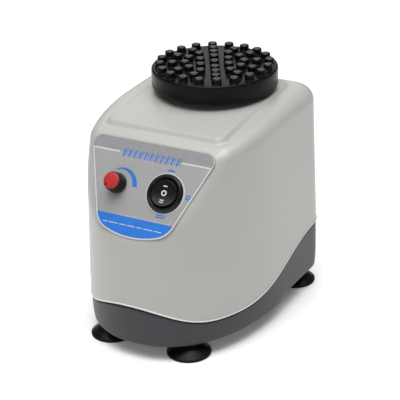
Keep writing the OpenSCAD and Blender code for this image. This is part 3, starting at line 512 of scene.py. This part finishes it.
def plateau_rise(x, y):
    """Height of the raised plateau above the crown."""
    middle = (PLATEAU_Y0 + PLATEAU_Y1) / 2
    r = np.where(y < middle, PLATEAU_FRONT_R, PLATEAU_REAR_R)
    inside = -box_distance(x, y - middle, PLATEAU_HALF, (PLATEAU_Y1 - PLATEAU_Y0) / 2, r)
    crown = CROWN_Z - (y - CROWN_Y) ** 2 / (2 * CROWN_R)
    top = PLATEAU_Z - (y - PLATEAU_Y) ** 2 / (2 * PLATEAU_ARC)
    return (top - crown) * np.clip(inside / RISER_W, 0, 1)


def top_distance(p, plateau):
    """Distance from the panel and the crown, with the shoulder between them."""
    x, y, z = p[..., 0], p[..., 1], p[..., 2]
    panel = (y - PANEL_O[1]) * PANEL_OUT[1] + (z - PANEL_O[2]) * PANEL_OUT[2] + FILM_T
    crown = np.hypot(y - CROWN_Y, z - CROWN_Z + CROWN_R) - CROWN_R
    if plateau:
        crown = crown - plateau_rise(x, y)
    return both(panel, crown, SHOULDER)


# Radius of the edge between the walls and the top, by distance along Y
EDGE_Y = [FRONT_Y, FRONT_Y + 10, FRONT_Y + 20, FRONT_Y + 36, FRONT_Y + 56, REAR_Y - 25, REAR_Y]
EDGE_R = [1.6, 3.5, 6.0, 7.5, 8.0, 10.0, 7.5]
# How the base's walls tuck in towards its lower edge, and that edge's radius
TUCK, TUCK_H, FOOT_EDGE = 0.8, 12.0, 2.0


LEAST_EDGE = 0.5       # smallest radius left on an inner edge


def shell_distance(p, inward=0.0, plateau=True):
    """Distance from the housing's outside, or from a face that lies inward of it."""
    edge = np.interp(p[..., 1], EDGE_Y, EDGE_R)
    return both(wall_distance(p) + inward, top_distance(p, plateau) + inward,
                np.maximum(edge - inward, LEAST_EDGE))


def pan_distance(p, inward=0.0):
    """Distance from the base's outside, or from a face that lies inward of it."""
    height = p[..., 2] - underside(p[..., 1])
    tuck = TUCK * np.clip(1 - height / TUCK_H, 0, 1.2) ** 2
    return both(wall_distance(p) + REVEAL + tuck + inward, inward - height,
                max(FOOT_EDGE - inward, LEAST_EDGE))


REACH, HALVINGS = 130.0, 36    # longest ray, and how often its end is narrowed down


def hit(distance, origins, directions):
    """Points where rays from inside a form leave it."""
    low = np.zeros(origins.shape[:-1])
    high = np.full(origins.shape[:-1], REACH)
    for _ in range(HALVINGS):
        middle = (low + high) / 2
        outside = distance(origins + directions * middle[..., None]) > 0
        high = np.where(outside, middle, high)
        low = np.where(outside, low, middle)
    return origins + directions * high[..., None]


# Columns of the grid round the body: points on each straight and on each corner of the outline
FRONT_N, FRONT_CORNER_N, SIDE_N, REAR_CORNER_N, REAR_N = 48, 34, 50, 22, 40


def column_outline(half, y0, y1, front_r, rear_r):
    """Points and outward directions round a round-cornered rectangle, anticlockwise from the front left."""
    points, normals = [], []

    def line(a, b, n, out):
        for k in range(n):
            points.append(np.array(a) + (np.array(b) - np.array(a)) * k / n)
            normals.append(out)

    def corner(c, r, start, n):
        for k in range(n):
            a = math.radians(start + 90 * k / n)
            out = np.array([math.cos(a), math.sin(a)])
            points.append(np.array(c) + r * out)
            normals.append(out)

    line((front_r - half, y0), (half - front_r, y0), FRONT_N, (0, -1))
    corner((half - front_r, y0 + front_r), front_r, -90, FRONT_CORNER_N)
    line((half, y0 + front_r), (half, y1 - rear_r), SIDE_N, (1, 0))
    corner((half - rear_r, y1 - rear_r), rear_r, 0, REAR_CORNER_N)
    line((half - rear_r, y1), (rear_r - half, y1), REAR_N, (0, 1))
    corner((rear_r - half, y1 - rear_r), rear_r, 90, REAR_CORNER_N)
    line((-half, y1 - rear_r), (-half, y0 + front_r), SIDE_N, (-1, 0))
    corner((front_r - half, y0 + front_r), front_r, 180, FRONT_CORNER_N)
    return np.array(points, float), np.array(normals, float)


# The spine runs inside the body, and the rays start from it; the ledge is the plateau's outline
SPINE, SPINE_OUT = column_outline(43.0, HEAD_Y - 66.5, REAR_Y - 8, 10.0, 12.0)
LEDGE, LEDGE_OUT = column_outline(PLATEAU_HALF, PLATEAU_Y0, PLATEAU_Y1, PLATEAU_FRONT_R, PLATEAU_REAR_R)
# Heights that the fans of rays start from: lower at the nose, where the walls are low
SIDE_Z, NOSE_Z, INNER_Z, FOOT_Z = 104.0, 70.0, 60.0, 16.0
FAN_Z = SIDE_Z + (NOSE_Z - SIDE_Z) * smooth(-SPINE_OUT[:, 1])


def upright_ring(distance, plan, start, sign):
    """A ring from upright rays over the points of a plan."""
    origins = np.column_stack([plan, np.full(len(plan), start)])
    return hit(distance, origins, np.tile([0, 0, float(sign)], (len(plan), 1)))


def fan_rings(distance, centre_z, first, last, count):
    """Rings from rays that turn from one elevation to another, spread evenly along the surface."""
    def at(angles):
        a = np.radians(angles)
        origins = np.broadcast_to(np.column_stack([SPINE, centre_z]), (*a.shape, 3))
        directions = np.concatenate([np.cos(a)[..., None] * SPINE_OUT, np.sin(a)[..., None]], -1)
        return hit(distance, origins, directions)

    columns, samples = len(SPINE), 120
    angles = np.tile(np.linspace(first, last, samples)[:, None], (1, columns))
    steps = np.linalg.norm(np.diff(at(angles), axis=0), axis=2)
    length = np.vstack([np.zeros(columns), np.cumsum(steps, 0)])
    even = [np.interp(np.linspace(0, length[-1, j], count), length[:, j], angles[:, j])
            for j in range(columns)]
    return list(at(np.array(even).T))


def side_ring(distance, height, out=0.0):
    """A ring whose points have the height that belongs to their own Y, moved outwards by out."""
    y = SPINE[:, 1]
    level = np.column_stack([SPINE_OUT, np.zeros(len(SPINE))])
    for _ in range(6):
        points = hit(distance, np.column_stack([SPINE, height(y)]), level)
        y = points[:, 1]
    return points + level * out


def between(a, b, shares):
    return [a + (b - a) * share for share in shares]


def pair(part, x, y, z=0.0):
    return [placed(part, (x, y, z)), placed(part, (-x, y, z))]


def make_housing():
    def inner(p):
        return shell_distance(p, WALL, plateau=False)

    spokes = LEDGE - [0, MOTOR_Y]
    throat = [0, MOTOR_Y] + THROAT_R * spokes / np.linalg.norm(spokes, axis=1)[:, None]
    plateau_edge = LEDGE - 3.2 * LEDGE_OUT
    rim = LEDGE + 0.3 * LEDGE_OUT
    plans = between(throat, plateau_edge, np.arange(12) / 12)
    plans += [LEDGE - d * LEDGE_OUT for d in (3.2, 2.6, 2.2, 1.9, 1.6, 1.3, 1.0, 0.7, 0.4, 0.1)]
    plans += between(rim, SPINE, (0, 1 / 3, 2 / 3))
    rings = [upright_ring(shell_distance, plan, INNER_Z, 1) for plan in plans]
    rings += fan_rings(shell_distance, FAN_Z, 90, 0, 64)
    lip = 2.4
    for share in np.arange(1, 41) / 40:
        rings.append(side_ring(shell_distance, lambda y: FAN_Z + (wave(y) + lip - FAN_Z) * share))
    # Rolled lower edge: [height above the joint, how far it stands out]
    for h, out in [(1.5, 0.0), (1.3, 0.1), (1.15, 0.3), (1.0, 0.42), (0.75, 0.45), (0.4, 0.42), (0.15, 0.22),
                   (0.05, 0.0), (0.0, -0.3), (0.0, -1.4)]:
        rings.append(side_ring(shell_distance, lambda y: wave(y) + h, out))
    for share in np.arange(9) / 8:
        rings.append(side_ring(inner, lambda y: (wave(y) + 0.4) * (1 - share) + FAN_Z * share))
    rings += fan_rings(inner, FAN_Z, 0, 90, 22)[1:]
    plans = between(rim, SPINE, (2 / 3, 1 / 3)) + between(throat, plateau_edge, (1, 0.75, 0.5, 0.25, 0))
    rings += [upright_ring(inner, plan, INNER_Z, 1) for plan in plans]

    rib_l, rib_t, rib_gap, bore_r, bore_h = 7.3, 2.0, 4.0, 1.5, 12.0
    joins, cuts = [], []
    for (x, y), (z0, z1) in BOSS_Z.items():
        joins += pair(rod(BOSS_R, z0, z1), x, y)
        joins += pair(plate(box_outline(rib_l, rib_t), wave(y) + rib_gap, z1), x + rib_l / 2, y)
        cuts += pair(rod(bore_r, z0 - 1, z0 + bore_h), x, y)
    cuts.append(on_panel(rod(BARREL_R + 0.1, -12, 6, 72), SWITCH_U, SWITCH_V))
    cuts.append(on_panel(rod(BUSHING_R + 0.1, -12, 6), KNOB_U, KNOB_V))
    cuts += pair(rod(BUSH_R, CROWN_Z - 12, CROWN_Z + 6, 48), PIN_X, MOTOR_Y)
    shell = build("housing_shell", [loft(rings, along=True)], PAINT, "base", cuts, joins, sharp=50,
                  nodes=["housing"])
    # The rolled edge is painted lighter than the walls, a painted highlight along the bead
    shell.data.materials.append(LIP_HIGHLIGHT)
    lip_low, lip_high, outer = 0.1, 1.15, -0.4
    for face in shell.data.polygons:
        centre = np.array(face.center) / MM
        if lip_low < centre[2] - wave(centre[1]) < lip_high and wall_distance(centre) > outer:
            face.material_index = 1


def stadium(w, length):
    """The outline of a slot with round ends."""
    return box_outline(w, length, w / 2 - 1e-3, 10)


def make_base():
    def inner(p):
        return pan_distance(p, PAN_T)

    # Lip inside the housing, ledge and rounded upper edge: [height above the joint, inset from the wall]
    rings = [side_ring(pan_distance, lambda y: wave(y) + h, -deep) for h, deep in
             [(2.6, 3.6), (2.6, 2.6), (-GAP, 2.6), (-GAP, 0.5), (-GAP - 0.12, 0.15), (-GAP - 0.45, 0.0)]]
    for share in np.arange(1, 17) / 16:
        rings.append(side_ring(pan_distance, lambda y: (wave(y) - 1.4) * (1 - share) + FOOT_Z * share))
    foot_z = np.full(len(SPINE), FOOT_Z)
    rings += fan_rings(pan_distance, foot_z, 0, -90, 48)[1:]
    middle = np.tile([0, HEAD_Y], (len(SPINE), 1))
    plans = between(SPINE, middle, np.arange(1, 13) / 12.5)
    rings += [upright_ring(pan_distance, plan, FOOT_Z, -1) for plan in plans]
    floor_at = len(rings)
    plans = between(SPINE, middle, (0.96, 0.64, 0.32))
    rings += [upright_ring(inner, plan, FOOT_Z, -1) for plan in plans]
    rings += fan_rings(inner, foot_z, -90, 0, 16)
    for share in np.arange(1, 7) / 6:
        rings.append(side_ring(inner, lambda y: FOOT_Z * (1 - share) + (wave(y) - 4) * share))
    points, faces = loft(rings, along=True)
    # The grid's middle is closed above and below the floor, and the two sides aren't joined there
    n = len(SPINE)
    faces = [f for f in faces if (f[0] // n, f[2] // n) != (floor_at - 1, floor_at)]
    faces += [tuple(range((floor_at - 1) * n, floor_at * n)), tuple(range(floor_at * n, (floor_at + 1) * n))]

    joins, cuts = [], []
    well_r, bore_r = 3.3, 1.5
    for (x, y), (top, _) in BOSS_Z.items():
        foot = underside(y)
        well = [(0, foot - 1), (well_r, foot - 1), (well_r, foot + 5), (bore_r, foot + 5), (bore_r, top + 1),
                (0, top + 1)]
        joins += pair(rod(BOSS_R, foot + 1, top - 0.3), x, y)
        cuts += pair(lathe(well, 32), x, y)
    pad_r, column_top, hole_r, hole_h = 7.0, 18, 2, 7.5
    for x, y in FEET:
        pad = [(0, BASE_Z), (pad_r, BASE_Z), (pad_r, BASE_Z + STEP_H + 1), (BOSS_R, BASE_Z + STEP_H + 1),
               (BOSS_R, column_top), (0, column_top)]
        if underside(y) > BASE_Z + 1:
            joins += pair(lathe(pad, 48), x, y)
        else:
            joins += pair(rod(BOSS_R, underside(y) + 1, column_top), x, y)
        cuts += pair(rod(hole_r, BASE_Z - 1, BASE_Z + hole_h), x, y)
    for x, y, r, top in COLUMNS:
        joins += pair(rod(r, underside(y) + 1, top), x, y)
    mouth, slot, slot_pitch, slot_y = stadium(4.0, 31), stadium(3.0, 30), 7, HEAD_Y - 33
    levels = [(mouth, 7.0), (mouth, BASE_Z), (slot, BASE_Z + 0.5), (slot, 17.0)]
    vent = loft([np.column_stack([o, np.full(len(o), z)]) for o, z in levels])
    cuts += [placed(vent, (slot_pitch * i, slot_y, 0)) for i in range(-3, 4)]
    cuts.append(at_rear(plate(box_outline(27.3, 19.9), -10, 5), 0, INLET_Z))
    cuts.append(at_rear(rod(6.0, -10, 5, 48), FUSE_X, FUSE_Z))
    build("base_shell", [(points, faces)], SLATE, "base", cuts, joins, sharp=50,
          nodes=["base_pan"])


# ---------- control panel ----------

INK = 0.04             # thickness of the printed marks


def film_outline():
    """The film's outline: flat top, straight tapering sides, round knees and a slightly bowed foot."""
    top, low, half, top_r, taper, knee_r, toe_r = 27.9, -28.9, 40.0, 6.0, 21.0, 14.6, 52.5
    # Arcs of the right half: [centre u, centre v, radius, first angle, last angle, steps]
    arcs = [(half - top_r, top - top_r, top_r, 90, -taper, 10),
            (12, low + knee_r + 1.9, knee_r, -taper, -66, 12),
            (0, low + toe_r, toe_r, -72, -87, 5)]
    right = np.vstack([[cx, cy] + circle(r, n + 1, a0, a1 - a0) for cx, cy, r, a0, a1, n in arcs])
    return np.vstack([right, right[::-1] * [-1, 1]])


def clipped(outline, v0, side):
    """The part of a convex outline above v0 where side is 1, or below it where side is -1."""
    out = []
    for a, b in zip(outline, np.roll(outline, -1, 0)):
        if side * (a[1] - v0) >= 0:
            out.append(a)
        if (a[1] - v0) * (b[1] - v0) < 0:
            out.append(a + (b - a) * (v0 - a[1]) / (b[1] - a[1]))
    return np.array(out)


def bar(w, h, u, v, turn=0.0):
    return placed(plate(box_outline(w, h), 0, INK), (u, v, 0), turn)


def ring(r, width, u, v, n=40):
    return placed(band(circle(r, n), circle(r - width, n), 0, INK), (u, v, 0))


def make_panel():
    outline = film_outline()
    holes = [placed(rod(BARREL_R + 0.15, -2, 2, 72), (SWITCH_U, SWITCH_V, 0)),
             placed(rod(BUSHING_R + 0.15, -2, 2), (KNOB_U, KNOB_V, 0))]
    build("panel_film", [on_panel(plate(outline, -FILM_T, 0, edge=0.12), 0, 0)], FILM, "base",
          [on_panel(hole, 0, 0) for hole in holes], nodes=["panel_film"])

    upper_v, lower_v, rule_v = 19.65, -16.9, 19.2
    upper = plate(clipped(inset(outline, 0.7), upper_v, 1), 0, 2 * INK)
    lower = plate(clipped(inset(outline, 1.1), lower_v, -1), 0, INK / 2)
    build("panel_band", [on_panel(upper, 0, 0)], HATCHED, "base")
    build("panel_field", [on_panel(lower, 0, 0)], INK_BLUE, "base")

    white = [band(inset(outline, 0.4), inset(outline, 1.05), 0, INK)]
    rule_h, rule_end, gap_l, gap_r = 0.9, 39.0, -20.8, 20.0
    for u0, u1 in ((-rule_end, gap_l), (gap_r, rule_end)):
        white.append(bar(u1 - u0, rule_h, (u0 + u1) / 2, rule_v))
    white.append(ring(12.2, 0.85, SWITCH_U, SWITCH_V, 96))
    dot_v, dot_pitch = -16.4, 2.2
    white += [bar(0.7, 0.45, u, dot_v) for u in np.arange(-11, 24, dot_pitch)]
    dash_u, dash_v, dash_gap = -19.5, -21.7, 0.9
    for length in (3.2, 5.6, 4.4, 5.2, 3.6, 6.0, 5.0):
        white.append(bar(length, 0.4, dash_u + length / 2, dash_v))
        dash_u += length + dash_gap
    build("panel_white", [on_panel(part, 0, 0) for part in white], INK_WHITE, "base")

    pitch, slant, tall, thick, thin, apart = 3.5, -14, 4.6, 0.95, 0.35, 1.5
    on_mark, touch_mark, off_mark = (15, 13.7), (15.4, -12.9), (29.3, 0.6)
    blue = [bar(4.2, 1.0, *on_mark), ring(1.5, 0.8, *off_mark)]
    blue += [bar(5.6, 0.6, touch_mark[0], touch_mark[1] + side * 0.65) for side in (-1, 1)]
    title = []
    for i in range(11):
        u = -17.6 + pitch * i
        title += [bar(thick, tall, u, rule_v, slant), bar(thin, tall, u + apart, rule_v, slant)]
    steps = 40
    sweep = np.linspace(110, 0, steps)
    share = np.arange(steps) / (steps - 1)
    directions = np.column_stack([np.cos(np.radians(sweep)), np.sin(np.radians(sweep))])
    outer = directions * (8.9 + 3.8 * share)[:, None]
    inner = directions * (8.5 + 1.0 * share)[:, None]
    rows = [np.column_stack([inner, np.zeros(steps)]), np.column_stack([outer, np.zeros(steps)]),
            np.column_stack([outer, np.full(steps, INK)]), np.column_stack([inner, np.full(steps, INK)])]
    swell = loft(np.transpose(rows, (1, 0, 2)))
    blue.append(placed(swell, (KNOB_U, KNOB_V, 0)))
    build("panel_blue", [on_panel(part, 0, 0) for part in blue], INK_BLUE, "base")
    build("panel_title", [on_panel(part, 0, 0, 2 * INK) for part in title], INK_BLUE, "base")


def make_switch():
    bezel = [(0, -14, 0), (8.6, -14, 0), (8.6, 1.35, .2), (9.3, 2.1, .25), (10.1, 2.1, .3), (11.3, .9, .5),
             (11.3, 0, .1), (BARREL_R, 0, 0), (BARREL_R, -17, .3), (0, -17, 0)]
    build("switch_bezel", [on_panel(lathe(rounded(bezel), 96), SWITCH_U, SWITCH_V)], BLACK, "base",
          nodes=["switch_body"])

    ball_r, dish_r, dish_low, under = 8.3, 25.0, 1.7, -3.4
    angles = np.linspace(0, 2 * math.pi, 96, endpoint=False)

    def dish(v):
        return dish_low + dish_r - np.sqrt(dish_r ** 2 - v ** 2)

    def ball_point(elevation):
        level = ball_r * np.cos(elevation)
        return level * np.cos(angles), level * np.sin(angles), ball_r * np.sin(elevation) - PIVOT_DEPTH

    low, high = np.zeros(len(angles)), np.full(len(angles), math.pi / 2)
    for _ in range(30):
        middle = (low + high) / 2
        _, v, out = ball_point(middle)
        above = out > dish(v)
        high, low = np.where(above, middle, high), np.where(above, low, middle)
    start = math.asin((under + PIVOT_DEPTH) / ball_r)
    rings = [np.column_stack(ball_point(start + (low - start) * share)) for share in
             (0, 0.2, 0.4, 0.6, 0.8, 0.92, 0.97)]
    rim = np.column_stack(ball_point(low))
    for share in (0.985, 0.96, 0.9, 0.8, 0.65, 0.5, 0.35, 0.2, 0.1, 0.01):
        flat = rim[:, :2] * share
        rings.append(np.column_stack([flat, dish(flat[:, 1])]))
    trunnion_r, trunnion_l = 1.2, 8.5
    trunnion = placed(rod(trunnion_r, -trunnion_l, trunnion_l), (0, 0, -PIVOT_DEPTH), 90, "Y")
    build("rocker", [on_panel(loft(rings), SWITCH_U, SWITCH_V)], BLACK, "rocker",
          joins=[on_panel(trunnion, SWITCH_U, SWITCH_V)], sharp=30,
          nodes=["switch_rocker"])

    marks = [(bar(2.6, 0.7, 0, 0), 4.0), (ring(1.7, 0.8, 0, 0), 0.0), (bar(2.6, 0.6, 0, 0), -4.2),
             (bar(2.6, 0.6, 0, 0), -5.5)]
    parts = [on_panel(part, SWITCH_U, SWITCH_V + v, float(dish(v)) + 0.02) for part, v in marks]
    build("rocker_marks", parts, INK_WHITE, "rocker")


def make_knob():
    flutes, depth, flute_z = 18, 0.4, 2.35

    def fluted(r, z, angles):
        if z < flute_z or r < 4.5:
            return np.full(len(angles), r)
        return r - depth * np.maximum(0, np.cos(flutes * angles)) ** 2

    skirt = [(3.05, .5, 0), (6, .5, .2), (6, 2.0, .35), (5.55, 2.4, .2), (5.5, 7.1, .25), (3.05, 7.1, 0)]
    build("knob_skirt", [on_panel(lathe(rounded(skirt), 180, fluted), KNOB_U, KNOB_V)], BLACK, "knob",
          nodes=["speed_knob"])
    cap = [(0, 7.1, 0), (4.8, 7.1, 0), (4.8, 8.6, .35), (0, 8.6, 0)]
    notch_at, notch_angle = 4.7, -135
    turned = math.radians(notch_angle)
    notch = placed(plate(box_outline(3.2, 1.3), 7.0, 9),
                   (notch_at * math.cos(turned), notch_at * math.sin(turned), 0), notch_angle)
    build("knob_cap", [on_panel(lathe(rounded(cap), 72), KNOB_U, KNOB_V)], RED, "knob",
          [on_panel(notch, KNOB_U, KNOB_V)], nodes=["knob_cap"])


# ---------- rubber head and feet ----------

# Rings of studs: [radius of the ring, number of studs, angle of the first]
STUD_RINGS = [(33, 20, 12.5), (25.4, 12, 0), (17.8, 12, 0), (9.8, 6, 0), (0, 1, 0)]


def make_head():
    stud_h = 3.5
    skirt_t, top_z, floor_z = 1.8, STUD_TOP - MAT_Z - stud_h, 4.2
    mat = [(0, floor_z, 0), (HEAD_R - 4.55, floor_z, 0), (HEAD_R - 4.55, 0, .4), (HEAD_R, 0, skirt_t),
           (HEAD_R, top_z, 1.3), (0, top_z, 0)]
    stud = [(0, -.6), (3.15, -.6), (3.15, .02), (2.98, .12), (2.86, .4), (2.8, 2.7), (2.68, 3.1),
            (2.4, 3.38), (2.0, stud_h), (0, 3.42)]
    studs = []
    for r, count, first in STUD_RINGS:
        for a in np.radians(first + 360 * np.arange(count) / count):
            place = (r * math.cos(a), HEAD_Y + r * math.sin(a), MAT_Z + top_z)
            studs.append(placed(lathe(stud, 28), place))
    head = build("head_rubber", [placed(lathe(rounded(mat, 6), 128), (0, HEAD_Y, MAT_Z))], RUBBER, "head",
                 joins=studs, sharp=45, nodes=["head_mat"])
    # The studs' tops are painted lighter, a painted highlight, and given a stronger gloss
    head.data.materials.append(STUD_TOP_HIGHLIGHT)
    for face in head.data.polygons:
        if face.center[2] / MM > STUD_TOP - 0.3:
            face.material_index = 1


FOOT_NODES = ["foot_front_left", "foot_front_right", "foot_rear_left", "foot_rear_right"]


def make_feet():
    foot = [(2, 9, 0), (6, 9, .2), (6, 6.8, .8), (8.2, 5.4, 1.5), (12.7, 1.9, .5), (13.2, 1.4, .2),
            (13.2, .3, .2), (12.8, 0, .1), (11.6, 0, .3), (7.5, 2.6, 1), (4.4, 3.4, .6), (2, 3.4, 0)]
    for name in FOOT_NODES:
        x, y, _ = middle_of(name)
        sucker = placed(lathe(rounded(foot, 3), 72), (x, y, span(name)[0][2]))
        build(name.replace("foot", "sucker"), [sucker], FOOT_RUBBER, "base",
              nodes=[name])


# ---------- fasteners ----------

def screw(head_r, head_h, shank_r, length):
    """A pan-head screw with its head down, and the cross recess that is cut into it."""
    profile = [(0, 0, 0), (head_r, 0, head_h * 0.55), (head_r, head_h, .1), (shank_r, head_h, 0),
               (shank_r, head_h + length, .4), (0, head_h + length, 0)]
    slot_w, slot_l, slot_h = 0.8, head_r * 1.2, head_h * 0.6
    a, b = slot_w / 2, slot_l / 2
    cross = np.array([(-a, -b), (a, -b), (a, -a), (b, -a), (b, a), (a, a), (a, b), (-a, b), (-a, a),
                      (-b, a), (-b, -a), (-a, -a)])
    recess = loft([np.column_stack([cross, np.full(len(cross), z)]) for z in (-1, slot_h)])
    return lathe(rounded(profile), 40), recess


def make_screws():
    parts, cuts = [], []
    seat = 2.8
    for (x, y), (top, _) in BOSS_Z.items():
        part, recess = screw(3.0, 2.2, 1.5, top - underside(y) + 4)
        parts += pair(part, x, y, underside(y) + seat)
        cuts += pair(recess, x, y, underside(y) + seat)
    build("case_screws", parts, ZINC, "base", cuts, nodes=["housing_screws"])
    parts, cuts = [], []
    part, recess = screw(3.6, 2.0, 2.0, 12)
    foot_seat = 1.4
    for x, y in FEET:
        parts += pair(part, x, y, foot_seat)
        cuts += pair(recess, x, y, foot_seat)
    build("sucker_screws", parts, ZINC, "base", cuts, nodes=["foot_screws"])


# ---------- mains inlet and fuse ----------

def make_inlet():
    half_w, top, low, chamfer = 12.2, 8.2, -8.2, 4.5
    cavity = np.array([(half_w, low + chamfer), (half_w, top), (-half_w, top), (-half_w, low + chamfer),
                       (chamfer - half_w, low), (half_w - chamfer, low)])
    mouth = 0.4
    levels = [(cavity, -11.5), (cavity, 2 - mouth), (inset(cavity, -mouth), 2), (inset(cavity, -mouth), 3)]
    blades = [(-7, -2), (0, 2), (7, -2)]
    cuts = [loft([np.column_stack([o, np.full(len(o), z)]) for o, z in levels])]
    cuts += [placed(plate(box_outline(2.05, 4.05), -20, -11), (x, z, 0)) for x, z in blades]
    flange, body = plate(box_outline(32, 23, 1.5), 0, 2, edge=.5), plate(box_outline(27, 19.6, .8), -16, 1)
    build("inlet_shell", [at_rear(flange, 0, INLET_Z)], BLACK, "base",
          [at_rear(cut, 0, INLET_Z) for cut in cuts], [at_rear(body, 0, INLET_Z)],
          nodes=["power_inlet"])
    pin = plate(box_outline(2, 4, 0.3), -23, -2.5, edge=0.6)
    build("inlet_blades", [at_rear(placed(pin, (x, z, 0)), 0, INLET_Z) for x, z in blades], BRONZE, "base",
          nodes=["inlet_pins"])


def make_fuse():
    holder = [(0, -20.6, 0), (4.2, -20.6, 0), (4.2, 2, .2), (8, 2, .6), (8, 0, 0), (5.9, 0, 0),
              (5.9, -21.5, 0), (0, -21.5, 0)]
    nut_r, nut_bore = 8.66, 5.5
    nut = band(circle(nut_r, 6), circle(nut_bore, 6), -6.6, -3.6)
    build("fuse_body", [at_rear(lathe(rounded(holder), 72), FUSE_X, FUSE_Z)], BLACK, "base",
          joins=[at_rear(nut, FUSE_X, FUSE_Z)], nodes=["fuse_holder"])

    knurls, knurl_depth = 24, 0.25

    def knurled(r, z, angles):
        if r < 6 or z < 3 or z > 7:
            return np.full(len(angles), r)
        return r - knurl_depth * np.maximum(0, np.cos(knurls * angles))

    cap = [(0, .2, 0), (2.6, .2, 0), (2.6, -3.8, 0), (4, -3.8, .2), (4, 2.2, 0), (6.4, 2.2, .3),
           (6.4, 3.2, 0), (6.4, 6.8, 0), (6.4, 8, .8), (0, 8, 0)]
    build("fuse_cap", [at_rear(lathe(rounded(cap), 144, knurled), FUSE_X, FUSE_Z)], BLACK, "fuse_carrier",
          [at_rear(plate(box_outline(10, 1.4), 6.8, 9), FUSE_X, FUSE_Z)],
          nodes=["fuse_cap"])


# ---------- studio ----------

def make_stage():
    """A floor wide enough to fill the picture, since the camera looks down at it."""
    reach = 6000
    floor = solid("floor", [plate(box_outline(2 * reach, 2 * reach), -20, 0)])
    floor.data.materials.append(FLOOR)


def area_light(name, place, target, size, power):
    light = bpy.data.lights.new(name, "AREA")
    light.shape = "SQUARE"
    light.size = size
    light.energy = power
    obj = bpy.data.objects.new(name, light)
    bpy.context.scene.collection.objects.link(obj)
    obj.location = place
    obj.rotation_euler = (Vector(target) - Vector(place)).to_track_quat("-Z", "Y").to_euler()


def make_studio():
    scene = bpy.context.scene
    world = bpy.data.worlds.new("studio")
    world.use_nodes = True
    shader = world.node_tree.nodes["Background"]
    shader.inputs["Color"].default_value = (1, 1, 1, 1)
    shader.inputs["Strength"].default_value = 0.2
    scene.world = world
    middle = (0, 0, 0.08)
    area_light("left_key", (-0.15, -0.42, 1.55), middle, 1.4, 17.5)
    area_light("right_key", (0.25, 0.0, 1.62), middle, 1.4, 22)
    area_light("rear_gloss", (-0.72, 1.28, 0.75), middle, 0.6, 1.0)
    area_light("front_fill", (0.35, -1.3, 0.7), middle, 0.8, 1.2)
    scene.view_settings.view_transform = "Standard"


def make_camera():
    azimuth, elevation, roll = math.radians(29.42), math.radians(24.47), math.radians(-1.46)
    place, lens, film_w = (0.4015, -0.7040, 0.4385), 132.43, 36
    right = Vector((math.cos(azimuth), math.sin(azimuth), 0))
    back = Vector((math.sin(azimuth) * math.cos(elevation), -math.cos(azimuth) * math.cos(elevation),
                   math.sin(elevation)))
    turned = Matrix((right, back.cross(right), back)).transposed() @ Matrix.Rotation(roll, 3, "Z")
    data = bpy.data.cameras.new("camera")
    data.lens = lens
    data.sensor_width = film_w
    camera = bpy.data.objects.new("camera", data)
    bpy.context.scene.collection.objects.link(camera)
    camera.matrix_world = Matrix.Translation(place) @ turned.to_4x4()
    bpy.context.scene.camera = camera


make_housing()
make_base()
make_panel()
make_switch()
make_knob()
make_head()
make_feet()
make_screws()
make_inlet()
make_fuse()
dress_carried_nodes()
make_stage()
make_studio()
make_camera()
